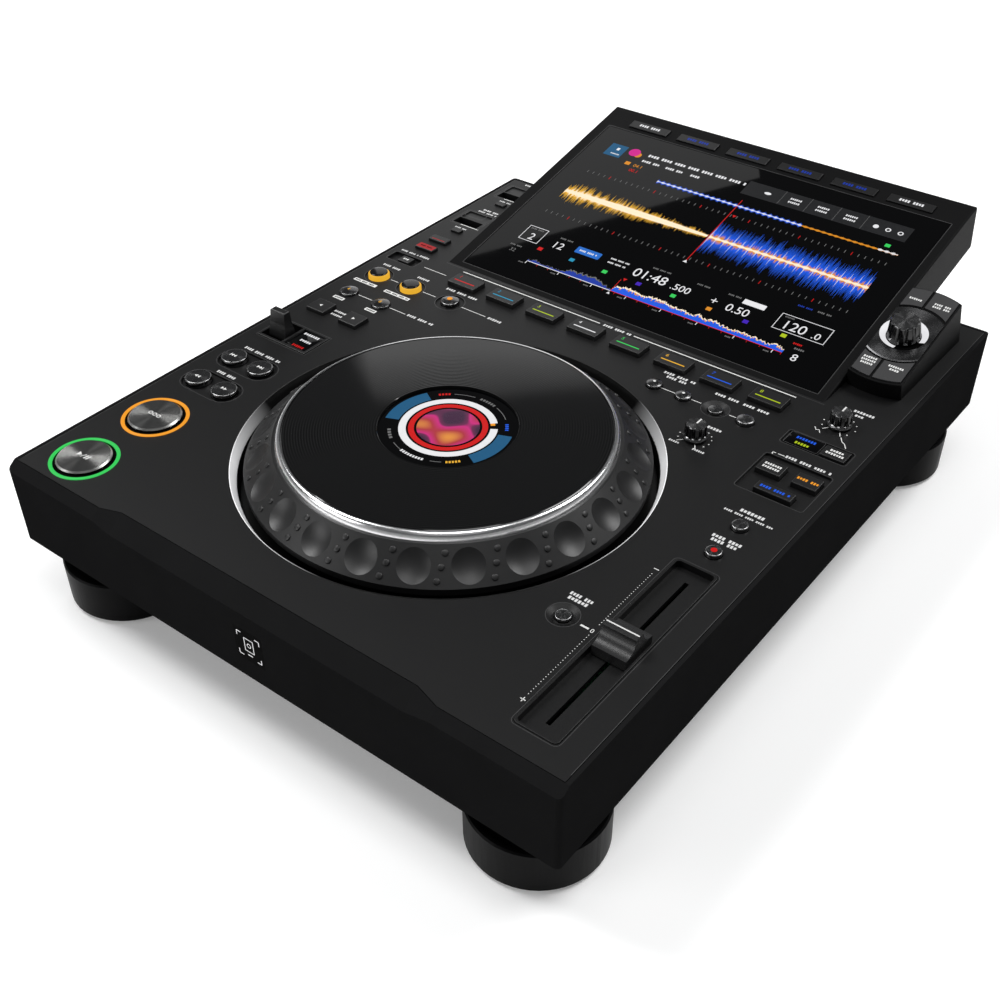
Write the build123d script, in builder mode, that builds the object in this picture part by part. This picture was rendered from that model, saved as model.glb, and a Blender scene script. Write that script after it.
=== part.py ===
from build123d import *
import os
from math import cos, sin, tan, radians

os.makedirs("parts", exist_ok=True)

# Tabletop DJ media player. X runs left to right, Y front to back, Z up.
# The origin is at the middle of the overall footprint, on the surface that the feet stand on.
# Places on the deck are given as (x, distance behind the front face).

# case
case_width = 329.0
case_depth = 404.2
case_bottom = 35.8
deck_height = 81.6
wall = 4.5
rim = 2.3
front_wall = 9.9
corner_round = 2.5
panel_thickness = 3.0
seam = 0.3
bottom_plate_thickness = 1.5
beam_depth = 16.0
cut_past = 1.0

# front chamfer, deeper between the two steps
chamfer_end = (5.4, 4.0)
chamfer_middle = (9.3, 6.9)
step_inner = (-90.2, 88.2)
step_outer = (-101.3, 101.3)

# display slab, leaning back from the deck and out over the rear of the case
display_x = (-124.7, 123.9)
display_front = 286.3
display_length = 183.0
display_thickness = 28.8
display_tilt = 12.6
display_round = 1.5
display_plug = (-119.0, 118.0, 291.0, 398.0)
glass_u = (-116.3, 117.6)
glass_v = (4.5, 161.2)
glass_thickness = 1.8
screen_key_pitch = 36.0
screen_key_size = (28.0, 6.8)
screen_key_v = 168.7
screen_key_rise = 1.1
screen_key_count = 6
screen_key_seat = 3.0
screen_key_root = 1.8
screen_key_edge = 0.3
display_plug_gap = 0.1
display_plug_lap = 0.5
display_edge = 1.0

# browse block, beside the display
browse_centre = (137.4, 344.3)
browse_height = 17.5
browse_tilt = 12.6
browse_x = (124.2, 153.3)
browse_radius = 38.6
browse_draft = 3.0
collar_radius = 21.8
browse_ring_radius = (9.2, 12.5)
browse_ring_top = (-0.8, 0.7)
browse_ring_seat = 2.0
browse_knob_radius = (8.9, 7.7)
browse_knob_base = -1.2
browse_knob_top = 10.0
browse_knob_bevel = 0.8
browse_key_radius = (23.0, 37.0)
browse_key_split = (34.0, 1.6, -0.3)
browse_key_border = 1.3
browse_key_seat = 2.4
browse_key_root = 1.4
browse_key_rise = 0.8
browse_root = 34.0
browse_edge = 0.6
collar_seat = 1.0
collar_border = 0.6
collar_gap = 0.2
collar_bevel = 0.7
collar_top = (0.5, 0.9, 0.5)
browse_ring_gap = 0.1
browse_shaft = 8.0
browse_flute_radius = 1.5
browse_flute_offset = 0.6
browse_flute_start = 0.8
browse_flute_count = 12

# jog wheel
jog_centre = (-1.2, 137.2)
well_radius = 106.0
well_throat = 101.8
well_drop = 7.0
well_floor = -14.0
jog_outer = 99.0
jog_outer_height = -0.7
jog_inner = 84.3
jog_inner_height = 12.5
jog_wall = 3.0
disc_radius = 79.7
disc_height = 16.0
dimple_count = 24
dimple_radius = 8.2
dimple_depth = 1.5
running_gap = 0.05
# profile of the well's wall, ledge and central boss: radii, and heights from the deck
well_lip = 0.1
well_bevel = 0.7
well_shell = 2.2
well_ledge = 5.0
well_ledge_bottom = -5.2
well_floor_thickness = 2.0
boss_radius = (12.0, 14.0, 16.0)
boss_bottom = -18.0
boss_top = 5.2
# profile of the ring's underside, the trim ring, the disc's edge and the spindle
ring_skirt = -4.0
ring_web = (4.0, 4.6)
hub_radius = 10.0
trim_gap = 0.2
trim_steps = ((0.6, 0.0), (1.0, 1.2), (2.2, 3.2), (3.2, 3.7))
disc_bevel = (0.6, 0.4)
spindle_radius = 6.0
spindle_bottom = -20.0
spindle_bevel = 0.6
spindle_collar = (14.0, 16.0)
spindle_lift = 0.1

# feet
foot_radius = 31.9
foot_height = 25.0
foot_neck = 24.0
foot_tread = 2.4
foot_lip = 0.8
foot_groove = (1.8, 1.6)
foot_places = [(x, back) for x in (-130.9, 130.9) for back in (32.8, 373.6)]

# base plate, the board on its pillars, and the screws from below
screw_places = [(x, back) for x in (-84.0, 84.0) for back in (20.0, 384.0)]
screw_places += [(x, back) for x in (-150.0, 150.0) for back in (130.0, 274.0)]
screw_radius = 1.5
screw_clearance = 0.1
screw_head = (3.0, 1.4)
screw_length = 7.0
vent_size = (5.0, 42.0)
vent_pitch = (14.0, 90.0)
vent_count = (9, 2)
pillar_places = [(x, back) for x in (-130.0, 130.0) for back in (90.0, 205.0, 320.0)]
pillar_radius = 4.5
board_height = 50.0
board_size = (290.0, 300.0)
board_thickness = 1.6
board_back = 205.0
block_places = [(-70.0, 290.0), (75.0, 300.0)]
block_size = (70.0, 55.0, 5.0)

# keys: the caps pass through the panel with a gap, and a flange under it keeps them in
key_gap = 0.3
key_edge = 0.5
dome_steps = 5
flange = 1.0
flange_thickness = 1.2

# round keys: (x, distance behind the front face, radius, rise above the deck)
round_keys = {
    "search_back_key": (-146.5, 106.9, 7.0, 2.2),
    "search_forward_key": (-126.9, 106.9, 7.0, 2.2),
    "track_back_key": (-146.3, 132.5, 7.0, 2.2),
    "track_forward_key": (-126.9, 132.5, 7.0, 2.2),
    "delete_key": (82.7, 247.6, 3.8, 0.5),
    "memory_key": (100.4, 246.8, 4.6, 2.6),
    "tempo_range_key": (139.8, 172.1, 4.0, 2.4),
    "master_tempo_key": (139.7, 149.2, 4.0, 2.4),
    "tempo_reset_key": (109.8, 77.4, 3.7, 0.5),
}
round_key_edge = 0.5
# round keys with a domed cap: (radius, rise of the edge, rise of the middle)
call_keys = [(46.2, 247.4), (64.0, 247.0)]
call_key_shape = (4.3, 1.6, 2.6)
beat_loop_keys = [(-146.8, 223.0), (-122.4, 223.0)]
beat_loop_shape = (5.4, 1.2, 2.2)
reloop_place = (-92.7, 248.9)
reloop_shape = (5.3, 1.6, 2.7)
# loop in and loop out: a skirt with a domed cap standing on it
loop_keys = {"loop_in_key": (-146.4, 248.3), "loop_out_key": (-121.8, 248.3)}
loop_skirt = (6.3, 2.2)
loop_skirt_edge = 0.5
loop_cap_shape = (5.3, 2.6, 3.2)
loop_recess_radius = 8.4
loop_recess_depth = 0.7
# funnels round the sunk keys: radius at the deck, radius at the bottom, depth
funnel = (7.2, 4.8, 1.4)

# transport buttons inside their lit rings
transport_buttons = {"play_button": (-137.4, 25.7), "cue_button": (-137.4, 69.9)}
transport_radius = 13.55
transport_rise = 1.9
transport_bevel = 0.8
transport_lip = 2.2
lit_ring_radius = (15.2, 17.1)
lit_ring_rise = 0.5
lit_ring_bevel = 0.3

# rectangular keys: (x from, x to, back from, back to, rise)
rect_keys = {
    "jog_mode_key": (142.4, 155.4, 244.1, 253.2, 1.0),
    "beat_sync_key": (123.6, 136.5, 214.8, 224.2, 1.8),
    "master_key": (142.6, 155.3, 214.8, 224.2, 1.8),
    "key_sync_key": (130.4, 149.8, 200.7, 207.1, 1.8),
    "time_mode_key": (-150.6, -142.4, 269.6, 275.8, 0.4),
}
beat_jump_size = (12.4, 11.4)
beat_jump_places = [(-146.4, 199.5), (-121.9, 199.5)]
beat_jump_rise = 2.3
hot_cue_first = -97.7
hot_cue_pitch = 28.36
hot_cue_back = 270.0
hot_cue_size = (19.1, 11.0)
hot_cue_rise = 2.8
hot_cue_count = 8
mode_key_size = (13.0, 5.8)
mode_key_places = [(-145.5, 290.5), (-145.5, 303.3)]
mode_key_rise = 1.8
stop_key_size = (6.8, 3.8)
stop_key_places = [(-145.6, 319.9), (-145.9, 365.2)]
stop_key_rise = 1.4

# recesses in the deck: (x from, x to, back from, back to, depth)
recesses = {
    "sync": (121.5, 156.6, 199.0, 230.5, 1.2),
    "jog_mode": (121.7, 156.3, 243.1, 254.7, 0.8),
    "time_mode": (-158.0, -137.5, 268.0, 277.6, 1.8),
}
capsule_radius = 8.9
capsule_depth = 1.2
recess_corner = 1.5

# media bays
bay_places = [(-147.7, 338.6), (-147.7, 383.6)]
bay_size = (21.0, 20.0)
bay_corner = 1.6
bay_gap = 0.1
bay_depth = 18.0
slot_size = (18.5, 7.4)
slot_offset = -5.0
slot_depth = 14.0
slot_corner = 0.8
cover_size = (18.6, 9.6)
cover_offset = 4.2
cover_depth = 0.8
cover_corner = 1.4

# direction lever
lever_frame = (-155.6, -119.5, 157.9, 178.6)
lever_slot = (-153.9, -138.5, 159.6, 177.0)
lever_window = (-137.0, -121.2, 159.7, 176.9)
lever_x = -146.2
lever_back = 168.2
lever_top = (10.4, 4.3)
lever_waist = (11.4, 5.3)
lever_waist_rise = 6.1
lever_base = (12.8, 8.6)
lever_root = 2.0
lever_rise = 13.5
lever_edge = 0.8
lever_pivot = -9.5
lever_pin_radius = 1.6
lever_hub_radius = 3.5
lever_pin_length = 1.2
bezel_floor = 5.0
bezel_skin = 1.0
bezel_lip = 0.6
window_depth = 0.8

# tempo fader
fader_tray = (128.3, 149.9, 17.4, 137.3)
fader_corner = 2.4
fader_gap = 0.1
fader_lip = (0.5, 0.4)
fader_rim = 1.3
fader_floor = -3.0
fader_floor_thickness = 2.0
fader_slot = (26.5, 128.5)
fader_slot_width = 2.2
fader_cap_width = 16.6
fader_cap_length = 19.6
fader_cap_top = 9.2
fader_cap_foot = 0.6
fader_cap_skirt = 2.6
# the hollow sides of the cap: half widths of the crest, its bevel, and the middle of the hollow
fader_crest = (1.9, 2.5)
fader_crest_bevel = 0.5
fader_hollow = (4.6, 1.9)
fader_blade = (1.6, 5.0, 9.0)

# rotary knobs
knob_places = {"jog_feel_knob": (87.5, 219.8), "jog_speed_knob": (139.2, 272.4)}
knob_radius = (6.3, 5.6, 5.3)
knob_rise = 8.6
knob_base = 0.4
knob_skirt = (1.2, 2.2)
knob_edge = 0.5
knob_shaft_radius = 3.0
knob_shaft_bottom = -8.0
knob_flute = (5.85, 0.9, 1.6)
knob_flute_count = 10

# rear of the case
rear_opening = (-118.0, 118.0, 42.0, 72.0)
rear_panel_thickness = 2.0
jack_row = 57.0
jack_places = (96.0, 80.0, 58.0)
jack_radius = 4.4
jack_shell = 1.0
jack_pin = 1.6
socket_gap = 0.2
socket_inset = 1.0
socket_length = 14.0
socket_mouth_depth = 10.0
# network, control and mains sockets: (x, width, height, mouth, tongue)
square_sockets = [
    (30.0, 15.6, 13.6, (11.8, 8.6), (8.0, 1.6)),
    (2.0, 11.6, 10.6, (8.4, 7.6), (5.6, 3.2)),
    (-80.0, 26.6, 19.6, (22.0, 15.0), (14.0, 2.4)),
]

slope = radians(display_tilt)
overall_depth = (
    display_front
    + display_length * cos(slope)
    + display_thickness * sin(slope)
    - display_round * (cos(slope) + sin(slope) - 1)
)
front_y = -overall_depth / 2
panel_bottom = deck_height - panel_thickness


def behind(distance):
    """Y of a place that lies this far behind the front face."""
    return front_y + distance


def save(builder, label):
    builder.part.label = label
    export_step(builder.part, f"parts/{label}.step")


def top_edges(part):
    return part.faces().sort_by(Axis.Z)[-1].edges()


display_plane = Plane(
    origin=(0, behind(display_front), deck_height),
    x_dir=(1, 0, 0),
    z_dir=(0, -sin(slope), cos(slope)),
)
browse_slope = radians(browse_tilt)
browse_plane = Plane(
    origin=(browse_centre[0], behind(browse_centre[1]), deck_height + browse_height),
    x_dir=(1, 0, 0),
    z_dir=(0, -sin(browse_slope), cos(browse_slope)),
)
jog_y = behind(jog_centre[1])


# case


def panel_outline(gap):
    """Deck plate outline, with the front edge following the stepped chamfer."""
    half = case_width / 2 - rim + gap
    rear = behind(case_depth - rim + gap)
    with BuildLine() as outline:
        Polyline(
            (-half, behind(chamfer_end[0] + seam - gap)),
            (step_outer[0], behind(chamfer_end[0] + seam - gap)),
            (step_inner[0], behind(chamfer_middle[0] + seam - gap)),
            (step_inner[1], behind(chamfer_middle[0] + seam - gap)),
            (step_outer[1], behind(chamfer_end[0] + seam - gap)),
            (half, behind(chamfer_end[0] + seam - gap)),
            (half, rear),
            (-half, rear),
            close=True,
        )
    return outline.line


def chamfer_section(x, size):
    """Triangle cut off the front top edge at one place along X."""
    with BuildSketch(Plane.YZ.offset(x)) as section:
        with BuildLine():
            Polyline(
                (behind(-cut_past), deck_height + cut_past),
                (behind(size[0]) + cut_past * size[0] / size[1], deck_height + cut_past),
                (behind(-cut_past), deck_height - size[1] - cut_past * size[1] / size[0]),
                close=True,
            )
        make_face()
    return section.sketch


with BuildPart() as main_case:
    with BuildSketch(Plane.XY.offset(case_bottom)):
        with Locations((0, behind(case_depth / 2))):
            RectangleRounded(case_width, case_depth, corner_round)
    extrude(amount=deck_height - case_bottom)
    # lower cavity, then a shorter one that leaves a front beam under the deck plate
    with BuildSketch(Plane.XY.offset(case_bottom)):
        with Locations((0, behind(case_depth / 2))):
            Rectangle(case_width - 2 * wall, case_depth - 2 * wall)
    extrude(amount=deck_height - case_bottom - beam_depth, mode=Mode.SUBTRACT)
    with BuildSketch(Plane.XY.offset(deck_height - beam_depth - cut_past)):
        with Locations((0, behind((front_wall + case_depth - wall) / 2))):
            Rectangle(case_width - 2 * wall, case_depth - wall - front_wall)
    extrude(amount=beam_depth + 2 * cut_past, mode=Mode.SUBTRACT)
    with BuildSketch(Plane.XY.offset(panel_bottom)):
        add(panel_outline(seam))
        make_face()
    extrude(amount=panel_thickness + cut_past, mode=Mode.SUBTRACT)
    # stepped chamfer along the front
    side_x = case_width / 2 + cut_past
    for start, end, first, last in (
        (-side_x, side_x, chamfer_end, chamfer_end),
        (step_outer[0], step_inner[0], chamfer_end, chamfer_middle),
        (step_inner[0], step_inner[1], chamfer_middle, chamfer_middle),
        (step_inner[1], step_outer[1], chamfer_middle, chamfer_end),
    ):
        loft([chamfer_section(start, first), chamfer_section(end, last)], mode=Mode.SUBTRACT)
    # opening for the rear panel
    with BuildSketch(Plane.XZ.offset(-behind(case_depth + cut_past))):
        with Locations((0, (rear_opening[2] + rear_opening[3]) / 2)):
            Rectangle(rear_opening[1] - rear_opening[0], rear_opening[3] - rear_opening[2])
    extrude(amount=wall + 2 * cut_past, mode=Mode.SUBTRACT)
save(main_case, "main_case")


def rect_on(plane, box, grow=0.0, corner=0.0):
    """Sketch of a rectangle given as (x from, x to, back from, back to)."""
    width = box[1] - box[0] + 2 * grow
    length = box[3] - box[2] + 2 * grow
    with BuildSketch(plane) as area:
        with Locations(((box[0] + box[1]) / 2, behind((box[2] + box[3]) / 2))):
            if corner:
                RectangleRounded(width, length, corner)
            else:
                Rectangle(width, length)
    return area.sketch


def box_about(place, size):
    return (
        place[0] - size[0] / 2,
        place[0] + size[0] / 2,
        place[1] - size[1] / 2,
        place[1] + size[1] / 2,
    )


hot_cue_places = [(hot_cue_first + number * hot_cue_pitch, hot_cue_back) for number in range(hot_cue_count)]
hot_cue_boxes = {
    f"hot_cue_{number + 1}_key": box_about(place, hot_cue_size) for number, place in enumerate(hot_cue_places)
}
key_boxes = [shape[:4] for shape in rect_keys.values()]
key_boxes += list(hot_cue_boxes.values())
key_boxes += [box_about(place, beat_jump_size) for place in beat_jump_places]
key_boxes += [box_about(place, mode_key_size) for place in mode_key_places]
key_boxes += [box_about(place, stop_key_size) for place in stop_key_places]

hole_circles = [(x, back, radius + key_gap) for x, back, radius, rise in round_keys.values()]
hole_circles += [(x, back, call_key_shape[0] + key_gap) for x, back in call_keys]
hole_circles += [(x, back, beat_loop_shape[0] + key_gap) for x, back in beat_loop_keys]
hole_circles += [(x, back, loop_skirt[0] + key_gap) for x, back in loop_keys.values()]
hole_circles.append((*reloop_place, reloop_shape[0] + key_gap))
hole_circles += [(x, back, lit_ring_radius[1]) for x, back in transport_buttons.values()]
hole_circles += [(x, back, knob_shaft_radius + running_gap) for x, back in knob_places.values()]
hole_circles.append((*jog_centre, well_radius))


def turned(points, height=deck_height, centre=jog_centre):
    """Solid of revolution about a vertical axis, from (radius, height) points."""
    place = Vector(centre[0], behind(centre[1]), height)
    with BuildPart(mode=Mode.PRIVATE) as solid:
        with BuildSketch(Plane(origin=place, x_dir=(1, 0, 0), z_dir=(0, -1, 0))):
            with BuildLine():
                Polyline(*points, close=True)
            make_face()
        revolve(axis=Axis(place, (0, 0, 1)))
    return solid.part


with BuildPart() as top_panel:
    with BuildSketch(Plane.XY.offset(panel_bottom)):
        add(panel_outline(0))
        make_face()
    extrude(amount=panel_thickness)
    # shallow recesses round groups of keys
    for *box, depth in recesses.values():
        area = rect_on(Plane.XY.offset(deck_height - depth), box, corner=recess_corner)
        extrude(area, amount=depth + cut_past, mode=Mode.SUBTRACT)
    for left, right in (("search_back_key", "search_forward_key"), ("track_back_key", "track_forward_key")):
        spacing = round_keys[right][0] - round_keys[left][0]
        with BuildSketch(Plane.XY.offset(deck_height - capsule_depth)):
            with Locations((round_keys[left][0] + spacing / 2, behind(round_keys[left][1]))):
                SlotCenterToCenter(spacing, 2 * capsule_radius)
        extrude(amount=capsule_depth + cut_past, mode=Mode.SUBTRACT)
    with BuildSketch(Plane.XY.offset(deck_height - loop_recess_depth)):
        for x, back in (*loop_keys.values(), reloop_place):
            with Locations((x, behind(back))):
                Circle(loop_recess_radius)
    extrude(amount=loop_recess_depth + cut_past, mode=Mode.SUBTRACT)
    for label in ("delete_key", "tempo_reset_key"):
        bowl = [(0, 0), (funnel[0], 0), (funnel[1], -funnel[2]), (0, -funnel[2])]
        add(turned(bowl, centre=round_keys[label][:2]), mode=Mode.SUBTRACT)
    # holes through the plate
    with BuildSketch(Plane.XY.offset(panel_bottom - cut_past)):
        for x, back, radius in hole_circles:
            with Locations((x, behind(back))):
                Circle(radius)
        for box in key_boxes:
            with Locations(((box[0] + box[1]) / 2, behind((box[2] + box[3]) / 2))):
                Rectangle(box[1] - box[0] + 2 * key_gap, box[3] - box[2] + 2 * key_gap)
        for box in (lever_frame, display_plug):
            with Locations(((box[0] + box[1]) / 2, behind((box[2] + box[3]) / 2))):
                Rectangle(box[1] - box[0], box[3] - box[2])
        with Locations(((fader_tray[0] + fader_tray[1]) / 2, behind((fader_tray[2] + fader_tray[3]) / 2))):
            RectangleRounded(fader_tray[1] - fader_tray[0], fader_tray[3] - fader_tray[2], fader_corner)
        for x, back in bay_places:
            with Locations((x, behind(back))):
                RectangleRounded(*bay_size, bay_corner)
    extrude(amount=panel_thickness + 2 * cut_past, mode=Mode.SUBTRACT)
save(top_panel, "top_panel")

with BuildPart() as bottom_plate:
    with BuildSketch(Plane.XY.offset(case_bottom)):
        with Locations((0, behind(case_depth / 2))):
            Rectangle(case_width - 2 * wall - 2 * seam, case_depth - 2 * wall - 2 * seam)
        for x, back in screw_places:
            with Locations((x, behind(back))):
                Circle(screw_radius + screw_clearance, mode=Mode.SUBTRACT)
        with Locations((0, behind(case_depth / 2))):
            with GridLocations(*vent_pitch, *vent_count):
                Rectangle(*vent_size, mode=Mode.SUBTRACT)
    extrude(amount=bottom_plate_thickness)
save(bottom_plate, "bottom_plate")

with BuildPart() as main_board:
    with BuildSketch(Plane.XY.offset(board_height)):
        with Locations((0, behind(board_back))):
            Rectangle(*board_size)
    extrude(amount=board_thickness)
    # shielded processor block and the power stage
    with BuildSketch(Plane.XY.offset(board_height + board_thickness)):
        for x, back in block_places:
            with Locations((x, behind(back))):
                Rectangle(*block_size[:2])
    extrude(amount=block_size[2])
    # pillars that stand on the bottom plate
    with BuildSketch(Plane.XY.offset(case_bottom + bottom_plate_thickness)):
        for x, back in pillar_places:
            with Locations((x, behind(back))):
                RegularPolygon(pillar_radius, 6)
    extrude(amount=board_height - case_bottom - bottom_plate_thickness)
save(main_board, "main_board")

with BuildPart() as case_screws:
    for x, back in screw_places:
        with BuildSketch(Plane.XY.offset(case_bottom - screw_head[1])):
            with Locations((x, behind(back))):
                Circle(screw_head[0])
        extrude(amount=screw_head[1])
        with BuildSketch(Plane.XY.offset(case_bottom)):
            with Locations((x, behind(back))):
                Circle(screw_radius)
        extrude(amount=screw_length)
save(case_screws, "case_screws")

with BuildPart() as feet:
    for x, back in foot_places:
        with BuildSketch(Plane(origin=(x, behind(back), 0), x_dir=(1, 0, 0), z_dir=(0, -1, 0))):
            with BuildLine():
                Polyline(
                    (0, 0),
                    (foot_radius - foot_tread, 0),
                    (foot_radius, foot_tread),
                    (foot_radius, foot_height - foot_lip),
                    (foot_radius - foot_lip, foot_height),
                    (foot_radius - foot_lip - foot_groove[0], foot_height),
                    (foot_radius - foot_lip - foot_groove[0], foot_height - foot_groove[1]),
                    (foot_neck, foot_height - foot_groove[1]),
                    (foot_neck, case_bottom),
                    (0, case_bottom),
                    close=True,
                )
            make_face()
        revolve(axis=Axis((x, behind(back), 0), (0, 0, 1)))
save(feet, "feet")

with BuildPart() as rear_panel:
    with BuildSketch(Plane.XZ.offset(-behind(case_depth - rear_panel_thickness))):
        with Locations((0, (rear_opening[2] + rear_opening[3]) / 2)):
            Rectangle(
                rear_opening[1] - rear_opening[0] - 2 * seam,
                rear_opening[3] - rear_opening[2] - 2 * seam,
            )
    extrude(amount=rear_panel_thickness)
    with BuildSketch(Plane.XZ.offset(-behind(case_depth))):
        for x in jack_places:
            with Locations((x, jack_row)):
                Circle(jack_radius + socket_gap)
        for x, width, height, mouth, tongue in square_sockets:
            with Locations((x, jack_row)):
                Rectangle(width + 2 * socket_gap, height + 2 * socket_gap)
    extrude(amount=3 * rear_panel_thickness, both=True, mode=Mode.SUBTRACT)
save(rear_panel, "rear_panel")

with BuildPart() as rear_sockets:
    socket_face = Plane.XZ.offset(-behind(case_depth - socket_inset))
    for x in jack_places:
        with BuildSketch(socket_face):
            with Locations((x, jack_row)):
                Circle(jack_radius)
        extrude(amount=socket_length)
        with BuildSketch(socket_face):
            with Locations((x, jack_row)):
                Circle(jack_radius - jack_shell)
                Circle(jack_pin, mode=Mode.SUBTRACT)
        extrude(amount=socket_mouth_depth, mode=Mode.SUBTRACT)
    for x, width, height, mouth, tongue in square_sockets:
        with BuildSketch(socket_face):
            with Locations((x, jack_row)):
                Rectangle(width, height)
        extrude(amount=socket_length)
        with BuildSketch(socket_face):
            with Locations((x, jack_row)):
                Rectangle(*mouth)
                Rectangle(*tongue, mode=Mode.SUBTRACT)
        extrude(amount=socket_mouth_depth, mode=Mode.SUBTRACT)
save(rear_sockets, "rear_sockets")

# display

screen_key_middle = (screen_key_count - 1) / 2
screen_key_places = [(index - screen_key_middle) * screen_key_pitch for index in range(screen_key_count)]
overhang = behind(case_depth + seam)

with BuildPart() as display_housing:
    rear = behind(display_front + display_length * cos(slope))
    top_rear = (rear, deck_height + display_length * sin(slope))
    bottom_rear = (top_rear[0] + display_thickness * sin(slope), top_rear[1] - display_thickness * cos(slope))
    underside = bottom_rear[1] - (bottom_rear[0] - overhang) * tan(slope)
    with BuildSketch(Plane.YZ.offset(display_x[0])) as side:
        with BuildLine():
            Polyline(
                (behind(display_front), deck_height),
                top_rear,
                bottom_rear,
                (overhang, underside),
                (overhang, deck_height),
                close=True,
            )
        make_face()
        fillet(side.vertices().sort_by(Axis.X)[-2:], display_round)
    extrude(amount=display_x[1] - display_x[0])
    side_faces = display_housing.faces().filter_by(Axis.X)
    fillet(side_faces.edges().filter_by(Axis.X, reverse=True).group_by(Axis.Z)[-1], display_edge)
    # foot of the housing, let into the deck plate
    plug = rect_on(Plane.XY.offset(panel_bottom), display_plug, grow=-display_plug_gap)
    extrude(plug, amount=panel_thickness + display_plug_lap)
    # seat for the glass and six pockets for the keys above it
    with BuildSketch(display_plane.offset(-glass_thickness)):
        with Locations(((glass_u[0] + glass_u[1]) / 2, (glass_v[0] + glass_v[1]) / 2)):
            Rectangle(glass_u[1] - glass_u[0], glass_v[1] - glass_v[0])
    extrude(amount=glass_thickness + cut_past, mode=Mode.SUBTRACT)
    with BuildSketch(display_plane.offset(-screen_key_seat)):
        for u in screen_key_places:
            with Locations((u, screen_key_v)):
                Rectangle(screen_key_size[0] + 2 * key_gap, screen_key_size[1] + 2 * key_gap)
    extrude(amount=screen_key_seat + cut_past, mode=Mode.SUBTRACT)
save(display_housing, "display_housing")

with BuildPart() as display_glass:
    with BuildSketch(display_plane.offset(-glass_thickness)):
        with Locations(((glass_u[0] + glass_u[1]) / 2, (glass_v[0] + glass_v[1]) / 2)):
            Rectangle(glass_u[1] - glass_u[0] - 2 * seam, glass_v[1] - glass_v[0] - 2 * seam)
    extrude(amount=glass_thickness)
save(display_glass, "display_glass")

with BuildPart() as screen_keys:
    with BuildSketch(display_plane.offset(-screen_key_root)):
        for u in screen_key_places:
            with Locations((u, screen_key_v)):
                Rectangle(*screen_key_size)
    extrude(amount=screen_key_root + screen_key_rise)
    tops = screen_keys.faces().sort_by(Axis(display_plane.origin, display_plane.z_dir))[-screen_key_count:]
    chamfer(tops.edges(), screen_key_edge)
save(screen_keys, "screen_keys")

# browse block


def browse_strip(x_from, x_to):
    """Rectangle on the block's top, given by absolute X."""
    centre = (x_from + x_to) / 2 - browse_centre[0]
    with Locations((centre, 0)):
        Rectangle(x_to - x_from, 4 * browse_radius, mode=Mode.INTERSECT)


def browse_key_sketch(height, grow):
    """Four curved keys round the knob, two behind it and two in front."""
    with BuildSketch(browse_plane.offset(height)) as keys:
        Circle(browse_key_radius[1] + grow)
        Circle(browse_key_radius[0] - grow, mode=Mode.SUBTRACT)
        browse_strip(browse_x[0] + browse_key_border - grow, browse_x[1] - browse_key_border + grow)
        Rectangle(4 * browse_radius, browse_key_split[0] - 2 * grow, mode=Mode.SUBTRACT)
        with Locations((browse_key_split[2], 0)):
            Rectangle(browse_key_split[1] - 2 * grow, 4 * browse_radius, mode=Mode.SUBTRACT)
    return keys.sketch


with BuildPart() as browse_housing:
    with BuildSketch(browse_plane):
        Circle(browse_radius)
        browse_strip(*browse_x)
    extrude(amount=-browse_root, taper=-browse_draft)
    fillet(browse_housing.faces().sort_by(Axis.Z)[-1].edges(), browse_edge)
    split(bisect_by=Plane.XY.offset(deck_height), keep=Keep.TOP)
    split(bisect_by=Plane.YZ.offset(browse_x[0]), keep=Keep.TOP)
    # pockets for the keys and the seat of the collar
    key_seats = browse_key_sketch(-browse_key_seat, key_gap)
    extrude(key_seats, amount=browse_key_seat + cut_past, mode=Mode.SUBTRACT)
    with BuildSketch(browse_plane.offset(-collar_seat)):
        Circle(collar_radius)
        browse_strip(browse_x[0] + collar_border, browse_x[1] - collar_border)
    extrude(amount=collar_seat + cut_past, mode=Mode.SUBTRACT)
    with BuildSketch(browse_plane.offset(-browse_ring_seat)):
        Circle(browse_ring_radius[1])
    extrude(amount=browse_ring_seat + cut_past, mode=Mode.SUBTRACT)
    with BuildSketch(browse_plane.offset(-browse_shaft)):
        Circle(knob_shaft_radius + running_gap)
    extrude(amount=browse_shaft + cut_past, mode=Mode.SUBTRACT)
save(browse_housing, "browse_housing")

browse_section = Plane(browse_plane.origin, x_dir=(1, 0, 0), z_dir=-browse_plane.y_dir)
browse_axis = Axis(browse_plane.origin, browse_plane.z_dir)

with BuildPart() as browse_collar:
    with BuildSketch(browse_section):
        with BuildLine():
            Polyline(
                (browse_ring_radius[1] + browse_ring_gap, -collar_seat),
                (collar_radius - collar_gap, -collar_seat),
                (collar_radius - collar_gap, collar_top[0]),
                (collar_radius - collar_gap - collar_bevel, collar_top[1]),
                (browse_ring_radius[1] + browse_ring_gap, collar_top[2]),
                close=True,
            )
        make_face()
    revolve(axis=browse_axis)
    with BuildSketch(browse_plane.offset(-collar_seat - cut_past)):
        with Locations(((browse_x[0] + browse_x[1]) / 2 - browse_centre[0], 0)):
            Rectangle(browse_x[1] - browse_x[0] - 2 * collar_border - 2 * collar_gap, 4 * browse_radius)
    extrude(amount=collar_seat + collar_top[1] + 2 * cut_past, mode=Mode.INTERSECT)
save(browse_collar, "browse_collar")

with BuildPart() as browse_keys:
    extrude(browse_key_sketch(-browse_key_root, 0), amount=browse_key_root + browse_key_rise)
save(browse_keys, "browse_keys")

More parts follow.
